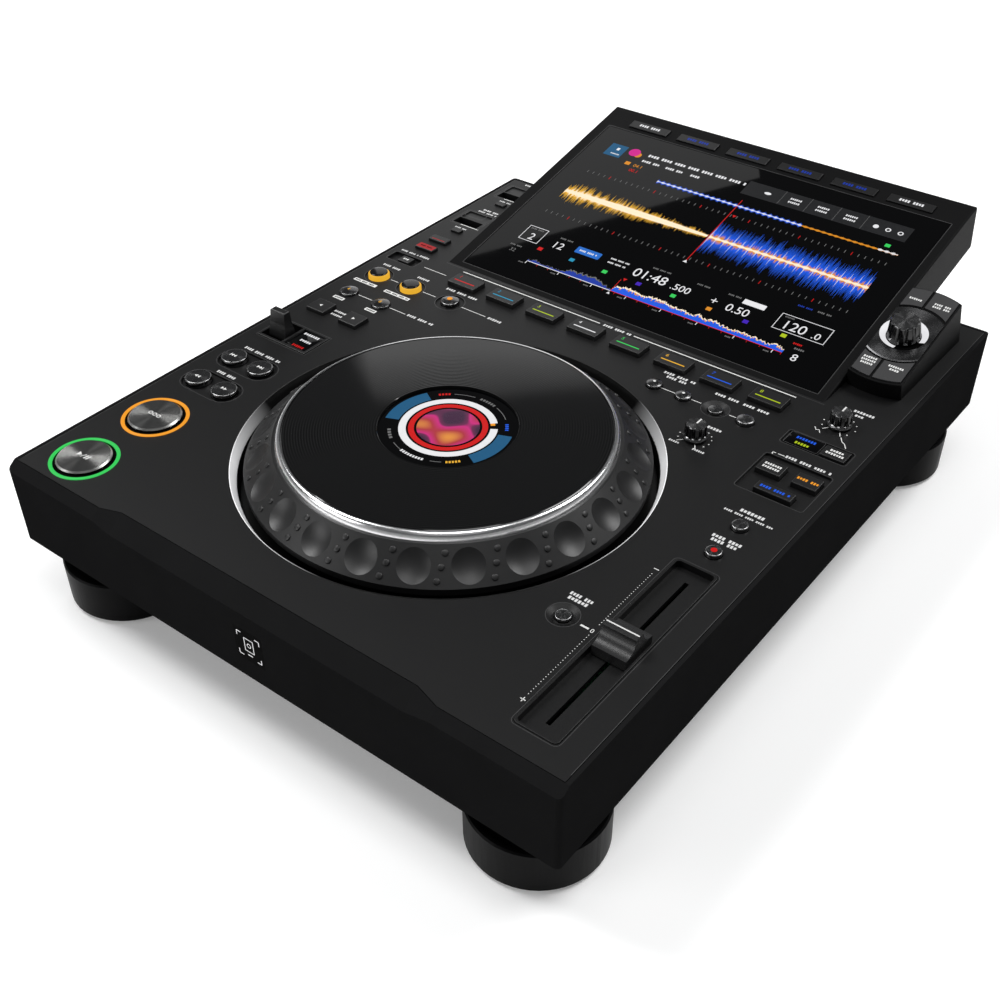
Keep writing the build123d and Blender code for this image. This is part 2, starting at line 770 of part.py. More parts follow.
with BuildPart() as browse_knob:
    with BuildSketch(browse_section):
        with BuildLine():
            Polyline(
                (0, key_gap - browse_shaft),
                (knob_shaft_radius, key_gap - browse_shaft),
                (knob_shaft_radius, browse_knob_base),
                (browse_knob_radius[0], browse_knob_base),
                (browse_knob_radius[1], browse_knob_top - browse_knob_bevel),
                (browse_knob_radius[1] - browse_knob_bevel, browse_knob_top),
                (0, browse_knob_top),
                close=True,
            )
        make_face()
    revolve(axis=browse_axis)
    with BuildSketch(browse_plane.offset(browse_flute_start)):
        with PolarLocations(browse_knob_radius[0] + browse_flute_offset, browse_flute_count):
            Circle(browse_flute_radius)
    extrude(amount=browse_knob_top, mode=Mode.SUBTRACT)
save(browse_knob, "browse_knob")

# jog wheel

with BuildPart() as jog_well:
    add(
        turned(
            [
                (spindle_radius + running_gap, boss_bottom),
                (boss_radius[1], boss_bottom),
                (boss_radius[2], well_floor - well_floor_thickness),
                (well_throat + well_shell, well_floor - well_floor_thickness),
                (well_throat + well_shell, well_ledge_bottom),
                (well_radius + well_ledge, well_ledge_bottom),
                (well_radius + well_ledge, -panel_thickness),
                (well_radius - well_lip, -panel_thickness),
                (well_radius - well_lip, 0.0),
                (well_radius - well_bevel, 0.0),
                (well_throat, -well_drop),
                (well_throat, well_floor),
                (boss_radius[1], well_floor),
                (boss_radius[0], boss_top),
                (spindle_radius + running_gap, boss_top),
            ]
        )
    )
save(jog_well, "jog_well")

cone_run = jog_outer - jog_inner
cone_rise = jog_inner_height - jog_outer_height
cone_length = (cone_run**2 + cone_rise**2) ** 0.5
dimple_sphere = (dimple_radius**2 + dimple_depth**2) / (2 * dimple_depth)
sphere_out = dimple_sphere - dimple_depth
sphere_radius_at = (jog_outer + jog_inner) / 2 + sphere_out * cone_rise / cone_length
sphere_height_at = (jog_outer_height + jog_inner_height) / 2 + sphere_out * cone_run / cone_length

with BuildPart() as jog_ring:
    add(
        turned(
            [
                (hub_radius, jog_inner_height - jog_wall),
                (jog_inner - ring_web[0], jog_inner_height - jog_wall),
                (jog_outer - ring_web[1], ring_skirt),
                (jog_outer, ring_skirt),
                (jog_outer, jog_outer_height),
                (jog_inner, jog_inner_height),
                (hub_radius, jog_inner_height),
            ]
        )
    )
    with Locations((jog_centre[0], jog_y, deck_height + sphere_height_at)):
        with PolarLocations(sphere_radius_at, dimple_count):
            Sphere(dimple_sphere, mode=Mode.SUBTRACT)
save(jog_ring, "jog_ring")

with BuildPart() as jog_trim_ring:
    add(
        turned(
            [
                (disc_radius + trim_gap, jog_inner_height),
                *((jog_inner - inset, jog_inner_height + lift) for inset, lift in trim_steps),
                (disc_radius + trim_gap, jog_inner_height + trim_steps[-1][1]),
            ]
        )
    )
save(jog_trim_ring, "jog_trim_ring")

with BuildPart() as jog_disc:
    add(
        turned(
            [
                (0, jog_inner_height),
                (disc_radius, jog_inner_height),
                (disc_radius, disc_height - disc_bevel[1]),
                (disc_radius - disc_bevel[0], disc_height),
                (0, disc_height),
            ]
        )
    )
save(jog_disc, "jog_disc")

with BuildPart() as jog_spindle:
    add(
        turned(
            [
                (0, spindle_bottom),
                (spindle_radius - spindle_bevel, spindle_bottom),
                (spindle_radius, spindle_bottom + spindle_bevel),
                (spindle_radius, boss_top + spindle_lift),
                (spindle_collar[0], boss_top + spindle_lift),
                (spindle_collar[1], jog_inner_height - jog_wall),
                (hub_radius, jog_inner_height - jog_wall),
                (hub_radius, jog_inner_height),
                (0, jog_inner_height),
            ]
        )
    )
save(jog_spindle, "jog_spindle")

# keys

flange_bottom = panel_bottom - key_gap / 6 - flange_thickness


def round_key(label, places, profile, lip=flange):
    """Round caps on one moulding, each with a flange under the deck plate.

    The profile holds (radius, height over the deck) points from the side of the cap to its middle.
    """
    radius = profile[0][0]
    low = flange_bottom - deck_height
    high = low + flange_thickness
    foot = [(0, low), (radius + lip, low), (radius + lip, high), (radius, high)]
    with BuildPart() as key:
        for place in places:
            add(turned([*foot, *profile], centre=place))
    save(key, label)


def bevelled(radius, rise, bevel):
    """Profile of a flat cap with a bevelled edge."""
    return [(radius, rise - bevel), (radius - bevel, rise), (0, rise)]


def domed(radius, edge_rise, middle_rise):
    """Profile of a domed cap, as a chain of short flats along a circle."""
    sagitta = middle_rise - edge_rise
    sphere = (radius**2 + sagitta**2) / (2 * sagitta)
    steps = [radius * (1 - step / dome_steps) for step in range(dome_steps + 1)]
    return [(r, middle_rise - sphere + (sphere**2 - r**2) ** 0.5) for r in steps]


def rect_key(label, boxes, rise):
    """Rectangular caps on one moulding, each with a flange under the deck plate."""
    with BuildPart() as key:
        for box in boxes:
            extrude(rect_on(Plane.XY.offset(flange_bottom), box), amount=deck_height + rise - flange_bottom)
        fillet(key.faces().group_by(Axis.Z)[-1].edges(), key_edge)
        for box in boxes:
            extrude(rect_on(Plane.XY.offset(flange_bottom), box, grow=flange), amount=flange_thickness)
    save(key, label)


for label, (x, back, radius, rise) in round_keys.items():
    round_key(label, [(x, back)], bevelled(radius, rise, round_key_edge))
round_key("call_keys", call_keys, domed(*call_key_shape))
round_key("beat_loop_keys", beat_loop_keys, domed(*beat_loop_shape))
round_key("reloop_key", [reloop_place], domed(*reloop_shape))
for label, place in transport_buttons.items():
    round_key(label, [place], bevelled(transport_radius, transport_rise, transport_bevel), lip=transport_lip)
skirt = bevelled(*loop_skirt, loop_skirt_edge)[:2]
for label, place in loop_keys.items():
    round_key(label, [place], [*skirt, (loop_cap_shape[0], loop_skirt[1]), *domed(*loop_cap_shape)])

for label, (x_from, x_to, back_from, back_to, rise) in rect_keys.items():
    rect_key(label, [(x_from, x_to, back_from, back_to)], rise)
for label, box in hot_cue_boxes.items():
    rect_key(label, [box], hot_cue_rise)
rect_key("beat_jump_keys", [box_about(place, beat_jump_size) for place in beat_jump_places], beat_jump_rise)
rect_key("mode_keys", [box_about(place, mode_key_size) for place in mode_key_places], mode_key_rise)
rect_key("media_stop_keys", [box_about(place, stop_key_size) for place in stop_key_places], stop_key_rise)

with BuildPart() as light_rings:
    for place in transport_buttons.values():
        add(
            turned(
                [
                    (lit_ring_radius[0], -panel_thickness),
                    (lit_ring_radius[1], -panel_thickness),
                    (lit_ring_radius[1], lit_ring_rise - lit_ring_bevel),
                    (lit_ring_radius[1] - lit_ring_bevel, lit_ring_rise),
                    (lit_ring_radius[0] + lit_ring_bevel, lit_ring_rise),
                    (lit_ring_radius[0], lit_ring_rise - lit_ring_bevel),
                ],
                centre=place,
            )
        )
    # the ring of the browse knob slopes down to the knob's foot
    with BuildSketch(browse_section):
        with BuildLine():
            Polyline(
                (browse_ring_radius[0], -browse_ring_seat),
                (browse_ring_radius[1], -browse_ring_seat),
                (browse_ring_radius[1], browse_ring_top[1]),
                (browse_ring_radius[1] - lit_ring_bevel, browse_ring_top[1]),
                (browse_ring_radius[0], browse_ring_top[0]),
                close=True,
            )
        make_face()
    revolve(axis=browse_axis)
save(light_rings, "light_rings")

# media bays

with BuildPart() as media_bays:
    bay_bottom = Plane.XY.offset(deck_height - bay_depth)
    for place in bay_places:
        block = rect_on(bay_bottom, box_about(place, bay_size), grow=-bay_gap, corner=bay_corner)
        extrude(block, amount=bay_depth)
    # a deep slot in front, and the cover's seat behind it
    for offset, size, depth, corner in (
        (slot_offset, slot_size, slot_depth, slot_corner),
        (cover_offset, cover_size, cover_depth, cover_corner),
    ):
        for x, back in bay_places:
            box = box_about((x, back + offset), size)
            area = rect_on(Plane.XY.offset(deck_height - depth), box, corner=corner)
            extrude(area, amount=depth + cut_past, mode=Mode.SUBTRACT)
save(media_bays, "media_bays")

# direction lever

pivot_height = deck_height + lever_pivot
with BuildPart() as lever_bezel:
    extrude(
        rect_on(Plane.XY.offset(pivot_height - bezel_floor - bezel_skin), lever_frame, grow=-key_gap / 3),
        amount=bezel_floor + bezel_skin - lever_pivot + bezel_lip,
    )
    fillet(top_edges(lever_bezel), bezel_lip / 2)
    # well that the lever swings in, and the seat of the legend window
    extrude(
        rect_on(Plane.XY.offset(pivot_height - bezel_floor), lever_slot),
        amount=bezel_floor - lever_pivot + bezel_lip + cut_past,
        mode=Mode.SUBTRACT,
    )
    extrude(
        rect_on(Plane.XY.offset(deck_height + bezel_lip - window_depth), lever_window),
        amount=window_depth + cut_past,
        mode=Mode.SUBTRACT,
    )
    with BuildSketch(Plane.YZ.offset(lever_frame[0] - cut_past)):
        with Locations((behind(lever_back), pivot_height)):
            Circle(lever_pin_radius + running_gap)
    pin_bore = lever_slot[1] - lever_frame[0] + cut_past + lever_pin_length + key_gap
    extrude(amount=pin_bore, mode=Mode.SUBTRACT)
save(lever_bezel, "lever_bezel")

with BuildPart() as direction_lever:
    for height, size in ((-lever_root, lever_base), (lever_waist_rise, lever_waist), (lever_rise, lever_top)):
        with BuildSketch(Plane.XY.offset(deck_height + height)):
            with Locations((lever_x, behind(lever_back))):
                Rectangle(*size)
    loft(ruled=True)
    fillet(top_edges(direction_lever), lever_edge)
    # hub round the pivot, with a pin at each side
    neck = box_about((lever_x, lever_back), (lever_base[0], 2 * lever_hub_radius))
    extrude(rect_on(Plane.XY.offset(pivot_height), neck), amount=-lever_pivot - lever_root)
    with BuildSketch(Plane.YZ.offset(lever_x - lever_base[0] / 2)):
        with Locations((behind(lever_back), pivot_height)):
            Circle(lever_hub_radius)
    extrude(amount=lever_base[0])
    pin_span = lever_slot[1] - lever_slot[0] + 2 * lever_pin_length
    with BuildSketch(Plane.YZ.offset(lever_x - pin_span / 2)):
        with Locations((behind(lever_back), pivot_height)):
            Circle(lever_pin_radius)
    extrude(amount=pin_span)
save(direction_lever, "direction_lever")

# tempo fader

fader_x = (fader_tray[0] + fader_tray[1]) / 2
fader_back = (fader_slot[0] + fader_slot[1]) / 2

with BuildPart() as tempo_tray:
    tray_bottom = fader_floor - fader_floor_thickness
    bottom_plane = Plane.XY.offset(deck_height + tray_bottom)
    floor_plane = Plane.XY.offset(deck_height + fader_floor)
    block = rect_on(bottom_plane, fader_tray, grow=-fader_gap, corner=fader_corner)
    extrude(block, amount=fader_lip[0] - tray_bottom)
    fillet(top_edges(tempo_tray), fader_lip[1])
    hollow = rect_on(floor_plane, fader_tray, grow=-fader_rim, corner=fader_corner - fader_rim / 2)
    extrude(hollow, amount=fader_lip[0] - fader_floor + cut_past, mode=Mode.SUBTRACT)
    slot_box = (fader_x - fader_slot_width / 2, fader_x + fader_slot_width / 2, *fader_slot)
    slot_height = fader_floor_thickness + 2 * cut_past
    slot_base = Plane.XY.offset(deck_height + tray_bottom - cut_past)
    extrude(rect_on(slot_base, slot_box), amount=slot_height, mode=Mode.SUBTRACT)
save(tempo_tray, "tempo_tray")

with BuildPart() as tempo_fader_cap:
    half = fader_cap_length / 2
    foot = deck_height + fader_floor + fader_cap_foot
    skirt = deck_height + fader_cap_skirt
    crest = deck_height + fader_cap_top
    middle = behind(fader_back)
    with BuildSketch(Plane.YZ.offset(fader_x - fader_cap_width / 2)):
        with BuildLine():
            Line((middle - half, foot), (middle + half, foot))
            Line((middle + half, foot), (middle + half, skirt))
            ThreePointArc(
                (middle + half, skirt),
                (middle + fader_hollow[0], skirt + fader_hollow[1]),
                (middle + fader_crest[1], crest - fader_crest_bevel),
            )
            Line((middle + fader_crest[1], crest - fader_crest_bevel), (middle + fader_crest[0], crest))
            Line((middle + fader_crest[0], crest), (middle - fader_crest[0], crest))
            Line((middle - fader_crest[0], crest), (middle - fader_crest[1], crest - fader_crest_bevel))
            ThreePointArc(
                (middle - fader_crest[1], crest - fader_crest_bevel),
                (middle - fader_hollow[0], skirt + fader_hollow[1]),
                (middle - half, skirt),
            )
            Line((middle - half, skirt), (middle - half, foot))
        make_face()
    extrude(amount=fader_cap_width)
    blade = box_about((fader_x, fader_back), fader_blade[:2])
    extrude(rect_on(Plane.XY.offset(foot), blade), amount=-fader_blade[2])
save(tempo_fader_cap, "tempo_fader_cap")

# knobs

for label, place in knob_places.items():
    with BuildPart() as knob:
        add(
            turned(
                [
                    (0, knob_shaft_bottom),
                    (knob_shaft_radius, knob_shaft_bottom),
                    (knob_shaft_radius, knob_base),
                    (knob_radius[0], knob_base),
                    (knob_radius[0], knob_skirt[0]),
                    (knob_radius[1], knob_skirt[1]),
                    (knob_radius[2], knob_rise - knob_edge),
                    (knob_radius[2] - knob_edge, knob_rise),
                    (0, knob_rise),
                ],
                centre=place,
            )
        )
        with BuildSketch(Plane.XY.offset(deck_height + knob_flute[2])):
            with Locations((place[0], behind(place[1]))):
                with PolarLocations(knob_flute[0], knob_flute_count):
                    Circle(knob_flute[1])
        extrude(amount=knob_rise, mode=Mode.SUBTRACT)
    save(knob, label)
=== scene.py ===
import math
import random

import bmesh
import bpy
from mathutils import Matrix, Vector


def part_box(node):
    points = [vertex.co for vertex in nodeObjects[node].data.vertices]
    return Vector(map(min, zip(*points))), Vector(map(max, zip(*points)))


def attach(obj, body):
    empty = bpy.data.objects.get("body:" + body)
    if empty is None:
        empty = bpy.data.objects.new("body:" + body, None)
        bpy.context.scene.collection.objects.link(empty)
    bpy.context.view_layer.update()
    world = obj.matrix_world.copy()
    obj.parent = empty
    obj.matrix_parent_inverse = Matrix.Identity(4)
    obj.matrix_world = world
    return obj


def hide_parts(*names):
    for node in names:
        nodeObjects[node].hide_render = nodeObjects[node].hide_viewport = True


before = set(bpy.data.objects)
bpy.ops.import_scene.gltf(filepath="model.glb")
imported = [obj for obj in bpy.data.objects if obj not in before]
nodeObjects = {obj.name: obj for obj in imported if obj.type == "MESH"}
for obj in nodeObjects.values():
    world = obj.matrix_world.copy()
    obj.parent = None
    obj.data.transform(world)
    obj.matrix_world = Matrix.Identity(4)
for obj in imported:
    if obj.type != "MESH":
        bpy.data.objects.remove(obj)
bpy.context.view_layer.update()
mm = 0.001
link = bpy.context.scene.collection.objects.link
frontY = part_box("main_case")[0].y
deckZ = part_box("main_case")[1].z
printLift = 0.03  # mm that printed marks stand over their surface
print("frame loaded")

# places of the tilted faces and of the jog wheel, all in mm
display = {"front": 286.3, "tilt": 12.6}
browse = {"x": 137.4, "back": 344.3, "height": 17.5, "tilt": 12.6}
jog = {"centre": (-1.2, 137.2), "dimples": 24}


def deckPlane(height=0.0):
    return Matrix.Translation((0, frontY, deckZ + height * mm)) @ Matrix.Scale(mm, 4)


def leaningPlane(x, back, foot, tilt, height):
    place = Matrix.Translation((x * mm, frontY + back * mm, deckZ + foot * mm))
    lean = Matrix.Rotation(math.radians(tilt), 4, "X")
    return place @ lean @ Matrix.Translation((0, 0, height * mm)) @ Matrix.Scale(mm, 4)


def displayPlane(height):
    return leaningPlane(0, display["front"], 0, display["tilt"], height)


def browsePlane(height=0.0):
    return leaningPlane(browse["x"], browse["back"], browse["height"], browse["tilt"], height)


def frontPlane(x, z, height):
    face = Matrix.Translation((x * mm, frontY - height * mm, z * mm))
    return face @ Matrix.Rotation(math.radians(90), 4, "X") @ Matrix.Scale(mm, 4)


def riseOf(node):
    # top of a node over the deck, in mm
    return (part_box(node)[1].z - deckZ) / mm


def middleOf(node):
    # middle of a node as (x, distance behind the front face)
    low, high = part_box(node)
    return (low.x + high.x) / 2 / mm, ((low.y + high.y) / 2 - frontY) / mm


# materials


def objectCoords(tree):
    return tree.nodes.new("ShaderNodeTexCoord").outputs["Object"]


def vectorNode(tree, operation, first, second):
    node = tree.nodes.new("ShaderNodeVectorMath")
    node.operation = operation
    for socket, value in zip(node.inputs, (first, second)):
        if isinstance(value, (tuple, Vector)):
            socket.default_value = tuple(value)
        elif value is not None:
            tree.links.new(value, socket)
    return node


def mathNode(tree, operation, first, second=None):
    node = tree.nodes.new("ShaderNodeMath")
    node.operation = operation
    for socket, value in zip(node.inputs, (first, second)):
        if isinstance(value, (int, float)):
            socket.default_value = value
        elif value is not None:
            tree.links.new(value, socket)
    return node.outputs[0]


def fromAxis(tree, centre):
    # offset from an upright axis through (x, back), in mm
    shift = vectorNode(tree, "SUBTRACT", objectCoords(tree), (centre[0] * mm, frontY + centre[1] * mm, 0))
    return vectorNode(tree, "MULTIPLY", shift.outputs[0], (1 / mm, 1 / mm, 0)).outputs[0]


def axisDistance(tree, centre):
    return vectorNode(tree, "LENGTH", fromAxis(tree, centre), None).outputs["Value"]


def noiseOn(tree, scale, detail=4.0, stretch=None):
    noise = tree.nodes.new("ShaderNodeTexNoise")
    noise.inputs["Scale"].default_value = scale
    noise.inputs["Detail"].default_value = detail
    source = objectCoords(tree)
    if stretch:
        mapping = tree.nodes.new("ShaderNodeMapping")
        mapping.inputs["Scale"].default_value = stretch
        tree.links.new(source, mapping.inputs["Vector"])
        source = mapping.outputs["Vector"]
    tree.links.new(source, noise.inputs["Vector"])
    return noise.outputs["Fac"]


def remap(tree, value, low, high, start=0.3, end=0.7):
    node = tree.nodes.new("ShaderNodeMapRange")
    for socket, number in zip(("From Min", "From Max", "To Min", "To Max"), (start, end, low, high)):
        node.inputs[socket].default_value = number
    tree.links.new(value, node.inputs["Value"])
    return node.outputs["Result"]


def mixColors(tree, factor, first, second):
    mix = tree.nodes.new("ShaderNodeMix")
    mix.data_type = "RGBA"
    tree.links.new(factor, mix.inputs["Factor"])
    for name, value in (("A", first), ("B", second)):
        socket = [s for s in mix.inputs if s.name == name and s.type == "RGBA"][0]
        if isinstance(value, tuple):
            socket.default_value = (*value, 1)
        else:
            tree.links.new(value, socket)
    return [s for s in mix.outputs if s.type == "RGBA"][0]


def addBump(tree, height, strength, distance, before=None):
    bump = tree.nodes.new("ShaderNodeBump")
    bump.inputs["Strength"].default_value = strength
    bump.inputs["Distance"].default_value = distance * mm
    tree.links.new(height, bump.inputs["Height"])
    if before is not None:
        tree.links.new(before, bump.inputs["Normal"])
    return bump.outputs["Normal"]


def newSkin(name, values):
    # a material, its tree, and its shader with some inputs set
    material = bpy.data.materials.new(name)
    material.use_nodes = True
    shader = material.node_tree.nodes["Principled BSDF"]
    for socket, value in values.items():
        shader.inputs[socket].default_value = value
    return material, material.node_tree, shader


def surface(
    name, color, rough, metal=0.0, grain=2600, bump=0.25, depth=0.06,
    spread=0.05, tone=0.12, shine=0.5, stretch=None,
):
    material, tree, shader = newSkin(name, {"Metallic": metal, "Specular IOR Level": shine})
    fine = noiseOn(tree, grain, 3.0, stretch)
    broad = noiseOn(tree, 38, 2.0)
    darker = tuple(c * (1 - tone) for c in color)
    lighter = tuple(min(1, c * (1 + tone)) for c in color)
    tree.links.new(mixColors(tree, broad, darker, lighter), shader.inputs["Base Color"])
    tree.links.new(remap(tree, fine, rough - spread, rough + spread), shader.inputs["Roughness"])
    tree.links.new(addBump(tree, fine, bump, depth), shader.inputs["Normal"])
    return material


def glowing(name, color, strength=1.0):
    base = (*(c * 0.1 for c in color), 1)
    values = {"Base Color": base, "Specular IOR Level": 0.15, "Emission Strength": strength}
    material, tree, shader = newSkin(name, values)
    broad = noiseOn(tree, 900, 2.0)
    dim = tuple(c * 0.86 for c in color)
    tree.links.new(mixColors(tree, broad, dim, color), shader.inputs["Emission Color"])
    tree.links.new(remap(tree, broad, 0.35, 0.5), shader.inputs["Roughness"])
    return material


def spun(name, color, rough, plane, centre=(0, 0), metal=1.0, shine=0.5, twist=0.92):
    # brushed in circles about the plane's upright axis through a centre
    brushed = {"grain": 1500, "bump": 0.05, "depth": 0.02, "spread": 0.03, "tone": 0.1}
    material = surface(name, color, rough, metal, shine=shine, **brushed)
    tree = material.node_tree
    shader = tree.nodes["Principled BSDF"]
    shader.inputs["Anisotropic"].default_value = twist
    axis = (plane.to_3x3() @ Vector((0, 0, 1))).normalized()
    middle = plane @ Vector((*centre, 0))
    away = vectorNode(tree, "SUBTRACT", objectCoords(tree), middle).outputs[0]
    along = vectorNode(tree, "CROSS_PRODUCT", axis, away).outputs[0]
    tree.links.new(vectorNode(tree, "NORMALIZE", along, None).outputs[0], shader.inputs["Tangent"])
    return material


caseSkin = surface("caseSkin", (0.0105, 0.0105, 0.0108), 0.62, grain=2400, bump=0.35, depth=0.05, shine=0.0)
deckSkin = surface("deckSkin", (0.0028, 0.0028, 0.003), 0.46, bump=0.35, depth=0.05, shine=0.26)
displaySkin = surface("displaySkin", (0.0036, 0.0036, 0.0038), 0.58, grain=3200, depth=0.04, shine=0.06)
glassSkin = surface(
    "glassSkin", (0.0006, 0.0006, 0.0008), 0.035, grain=60, bump=0.0, spread=0.01, tone=0.05, shine=0.24,
)
keySkin = surface("keySkin", (0.0042, 0.0042, 0.0045), 0.4, grain=3600, bump=0.2, depth=0.03, shine=0.4)
keyGloss = surface(
    "keyGloss", (0.0025, 0.0025, 0.0027), 0.12, grain=1400, bump=0.04, depth=0.02, spread=0.03,
)
browseKeySkin = surface("browseKeySkin", (0.026, 0.026, 0.027), 0.42, grain=3600, bump=0.2, depth=0.03)
jogSkin = surface("jogSkin", (0.005, 0.005, 0.0053), 0.4, grain=3000, bump=0.22, depth=0.04)
chrome = surface(
    "chrome", (0.86, 0.86, 0.87), 0.2, metal=1.0, grain=500, bump=0.02, depth=0.01, spread=0.02, tone=0.02,
)
footMetal = surface(
    "footMetal", (0.003, 0.003, 0.0032), 0.4, grain=900, bump=0.3, depth=0.04, shine=0.05,
    stretch=(1, 1, 0.05),
)
steel = surface("steel", (0.45, 0.45, 0.46), 0.35, metal=1.0, grain=1200)
plateCoat = surface("plateCoat", (0.02, 0.02, 0.021), 0.55, grain=1500, bump=0.4, depth=0.08)
boardGreen = surface("boardGreen", (0.01, 0.09, 0.035), 0.4, grain=400, bump=0.3, depth=0.05)
socketBlack = surface("socketBlack", (0.012, 0.012, 0.012), 0.45)
# plain black for print and the front plate, also painted shade in the gaps round the transport buttons and
# on their sides
blackAndPaintedShade = surface("blackAndPaintedShade", (0.0008, 0.0008, 0.0008), 0.7, grain=3000, bump=0.1, depth=0.02, shine=0.02)
# painted highlight: light grey for the thin lit edges of recesses, seams, windows and the display glass
paintedEdgeHighlight = surface("paintedEdgeHighlight", (0.055, 0.055, 0.056), 0.35, grain=1800, bump=0.1, depth=0.02, tone=0.4)
whiteInk = surface("whiteInk", (0.62, 0.62, 0.61), 0.5, grain=4000, bump=0.1, depth=0.02, tone=0.05)
paleInk = surface("paleInk", (0.56, 0.56, 0.56), 0.5, grain=4000, bump=0.1, depth=0.02, tone=0.08)
faderSkin = surface("capSkin", (0.016, 0.016, 0.0165), 0.3, grain=2400, bump=0.15, depth=0.03, shine=0.6)
collarSkin = spun("collarSpun", (0.08, 0.08, 0.082), 0.26, browsePlane(), metal=0.95)

lamps = {
    "green": (0.035, 0.58, 0.1), "amber": (0.88, 0.33, 0.02), "white": (0.78, 0.78, 0.8),
    "red": (0.58, 0.005, 0.005), "deepRed": (0.36, 0.008, 0.012), "cyan": (0.015, 0.3, 0.5),
    "lime": (0.45, 0.58, 0.012), "blue": (0.012, 0.1, 0.72), "dimBlue": (0.008, 0.036, 0.34),
    "gold": (0.8, 0.42, 0.03), "cream": (1.0, 0.83, 0.6), "orange": (0.68, 0.25, 0.015),
    "purple": (0.05, 0.012, 0.45), "grey": (0.16, 0.16, 0.16), "panelGrey": (0.014, 0.0145, 0.016),
    "magenta": (0.6, 0.012, 0.25), "softBlue": (0.01, 0.1, 0.22), "badgeBlue": (0.015, 0.14, 0.55),
}
dimmed = ("cyan", "lime", "grey", "panelGrey", "softBlue")
lit = {
    name: glowing("lit" + name[0].upper() + name[1:], color, 0.9 if name in dimmed else 1.0)
    for name, color in lamps.items()
}


def paint(material, *nodes):
    for node in nodes:
        slots = nodeObjects[node].data.materials
        slots.clear()
        slots.append(material)


hotCueKeys = [f"hot_cue_{number}_key" for number in range(1, 9)]
paint(caseSkin, "main_case")
paint(deckSkin, "top_panel", "tempo_tray")
paint(displaySkin, "display_housing", "browse_housing")
paint(glassSkin, "display_glass")
paint(jogSkin, "jog_ring")
paint(footMetal, "feet")
paint(steel, "case_screws", "jog_spindle")
paint(plateCoat, "bottom_plate", "rear_panel")
paint(boardGreen, "main_board")
paint(socketBlack, "rear_sockets")
paint(keySkin, "media_bays", "lever_bezel", "direction_lever", "screen_keys", "mode_keys", *hotCueKeys)
paint(keySkin, "media_stop_keys", "beat_jump_keys", "beat_sync_key", "master_key")
paint(keySkin, "key_sync_key", "jog_mode_key", "time_mode_key")
paint(browseKeySkin, "browse_keys")
paint(faderSkin, "tempo_fader_cap")
paint(collarSkin, "browse_collar")

# the well's sloping wall is silver with a painted sheen: its colour is brightest to its two sides and fades
# darker towards the back; its lip and floor are black
well = {
    "silver": (101.9, 105.65), "floor": -5.4, "tone": (0.92, 0.92, 0.93),
    "sides": ((0.79, 0.61, 0), (0.5, 0.92)),  # way, and where it starts and ends
    "front": ((0.61, -0.79, 0), (-0.42, 0.05)),
}
wellSkin = spun("wellSkin", (0.004, 0.004, 0.004), 0.4, deckPlane(), jog["centre"], 0.0, 0.25, 0.9)
tree = wellSkin.node_tree
shader = tree.nodes["Principled BSDF"]
reach = axisDistance(tree, jog["centre"])
split = tree.nodes.new("ShaderNodeSeparateXYZ")
tree.links.new(objectCoords(tree), split.inputs[0])
above = mathNode(tree, "GREATER_THAN", split.outputs["Z"], deckZ + well["floor"] * mm)
inside = mathNode(tree, "LESS_THAN", reach, well["silver"][1])
outside = mathNode(tree, "GREATER_THAN", reach, well["silver"][0])
paintedSheenOnWall = mathNode(tree, "MULTIPLY", mathNode(tree, "MULTIPLY", inside, outside), above)
# painted sheen: the wall's silver colour shows only along the two sides and fades towards the back
for key in ("sides", "front"):
    way, ends = well[key]
    along = vectorNode(tree, "DOT_PRODUCT", fromAxis(tree, jog["centre"]), way).outputs["Value"]
    if key == "sides":
        along = mathNode(tree, "ABSOLUTE", along)
    start, end = (share * well["silver"][1] for share in ends)
    paintedSheenOnWall = mathNode(tree, "MULTIPLY", paintedSheenOnWall, remap(tree, along, 0, 1, start, end))
darkWell = shader.inputs["Base Color"].links[0].from_socket
tree.links.new(mixColors(tree, paintedSheenOnWall, darkWell, well["tone"]), shader.inputs["Base Color"])
paint(wellSkin, "jog_well")
print("materials painted")

# turned solids and slabs


def spinProfile(profile, centre, steps, closed=False):
    # turn (radius, height) points about an upright axis
    bm = bmesh.new()
    points = [bm.verts.new((radius, 0, height)) for radius, height in profile]
    ends = points[1:] + points[:1] if closed else points[1:]
    edges = [bm.edges.new(pair) for pair in zip(points, ends)]
    bmesh.ops.spin(
        bm, geom=[*points, *edges], cent=(0, 0, 0), axis=(0, 0, 1), angle=2 * math.pi,
        steps=steps, use_merge=True,
    )
    bmesh.ops.remove_doubles(bm, verts=bm.verts, dist=1e-4)
    bmesh.ops.translate(bm, verts=bm.verts, vec=(*centre, 0))
    return bm


def slab(x0, x1, y0, y1, bottom, top, corner, edge):
    # a flat box with rounded corners and a bevelled top edge
    bm = bmesh.new()
    addRounded(bm, x0, x1, y0, y1, corner)
    bmesh.ops.translate(bm, verts=bm.verts, vec=(0, 0, bottom))
    grown = bmesh.ops.extrude_face_region(bm, geom=list(bm.faces), use_keep_orig=True)["geom"]
    upper = [item for item in grown if isinstance(item, bmesh.types.BMVert)]
    bmesh.ops.translate(bm, verts=upper, vec=(0, 0, top - bottom))
    rim = [e for e in bm.edges if all(v in upper for v in e.verts)]
    bmesh.ops.bevel(bm, geom=rim, offset=edge, segments=2, profile=0.5, affect="EDGES", material=-1)
    return bm


def putPiece(bm, name, skins, body, sharp=None):
    mesh = bpy.data.meshes.new(name)
    bm.to_mesh(mesh)
    bm.free()
    for skin in skins:
        mesh.materials.append(skin)
    if sharp:
        for polygon in mesh.polygons:
            polygon.use_smooth = True
        mesh.set_sharp_from_angle(angle=math.radians(sharp))
    piece = bpy.data.objects.new(name, mesh)
    link(piece)
    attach(piece, body)
    return piece


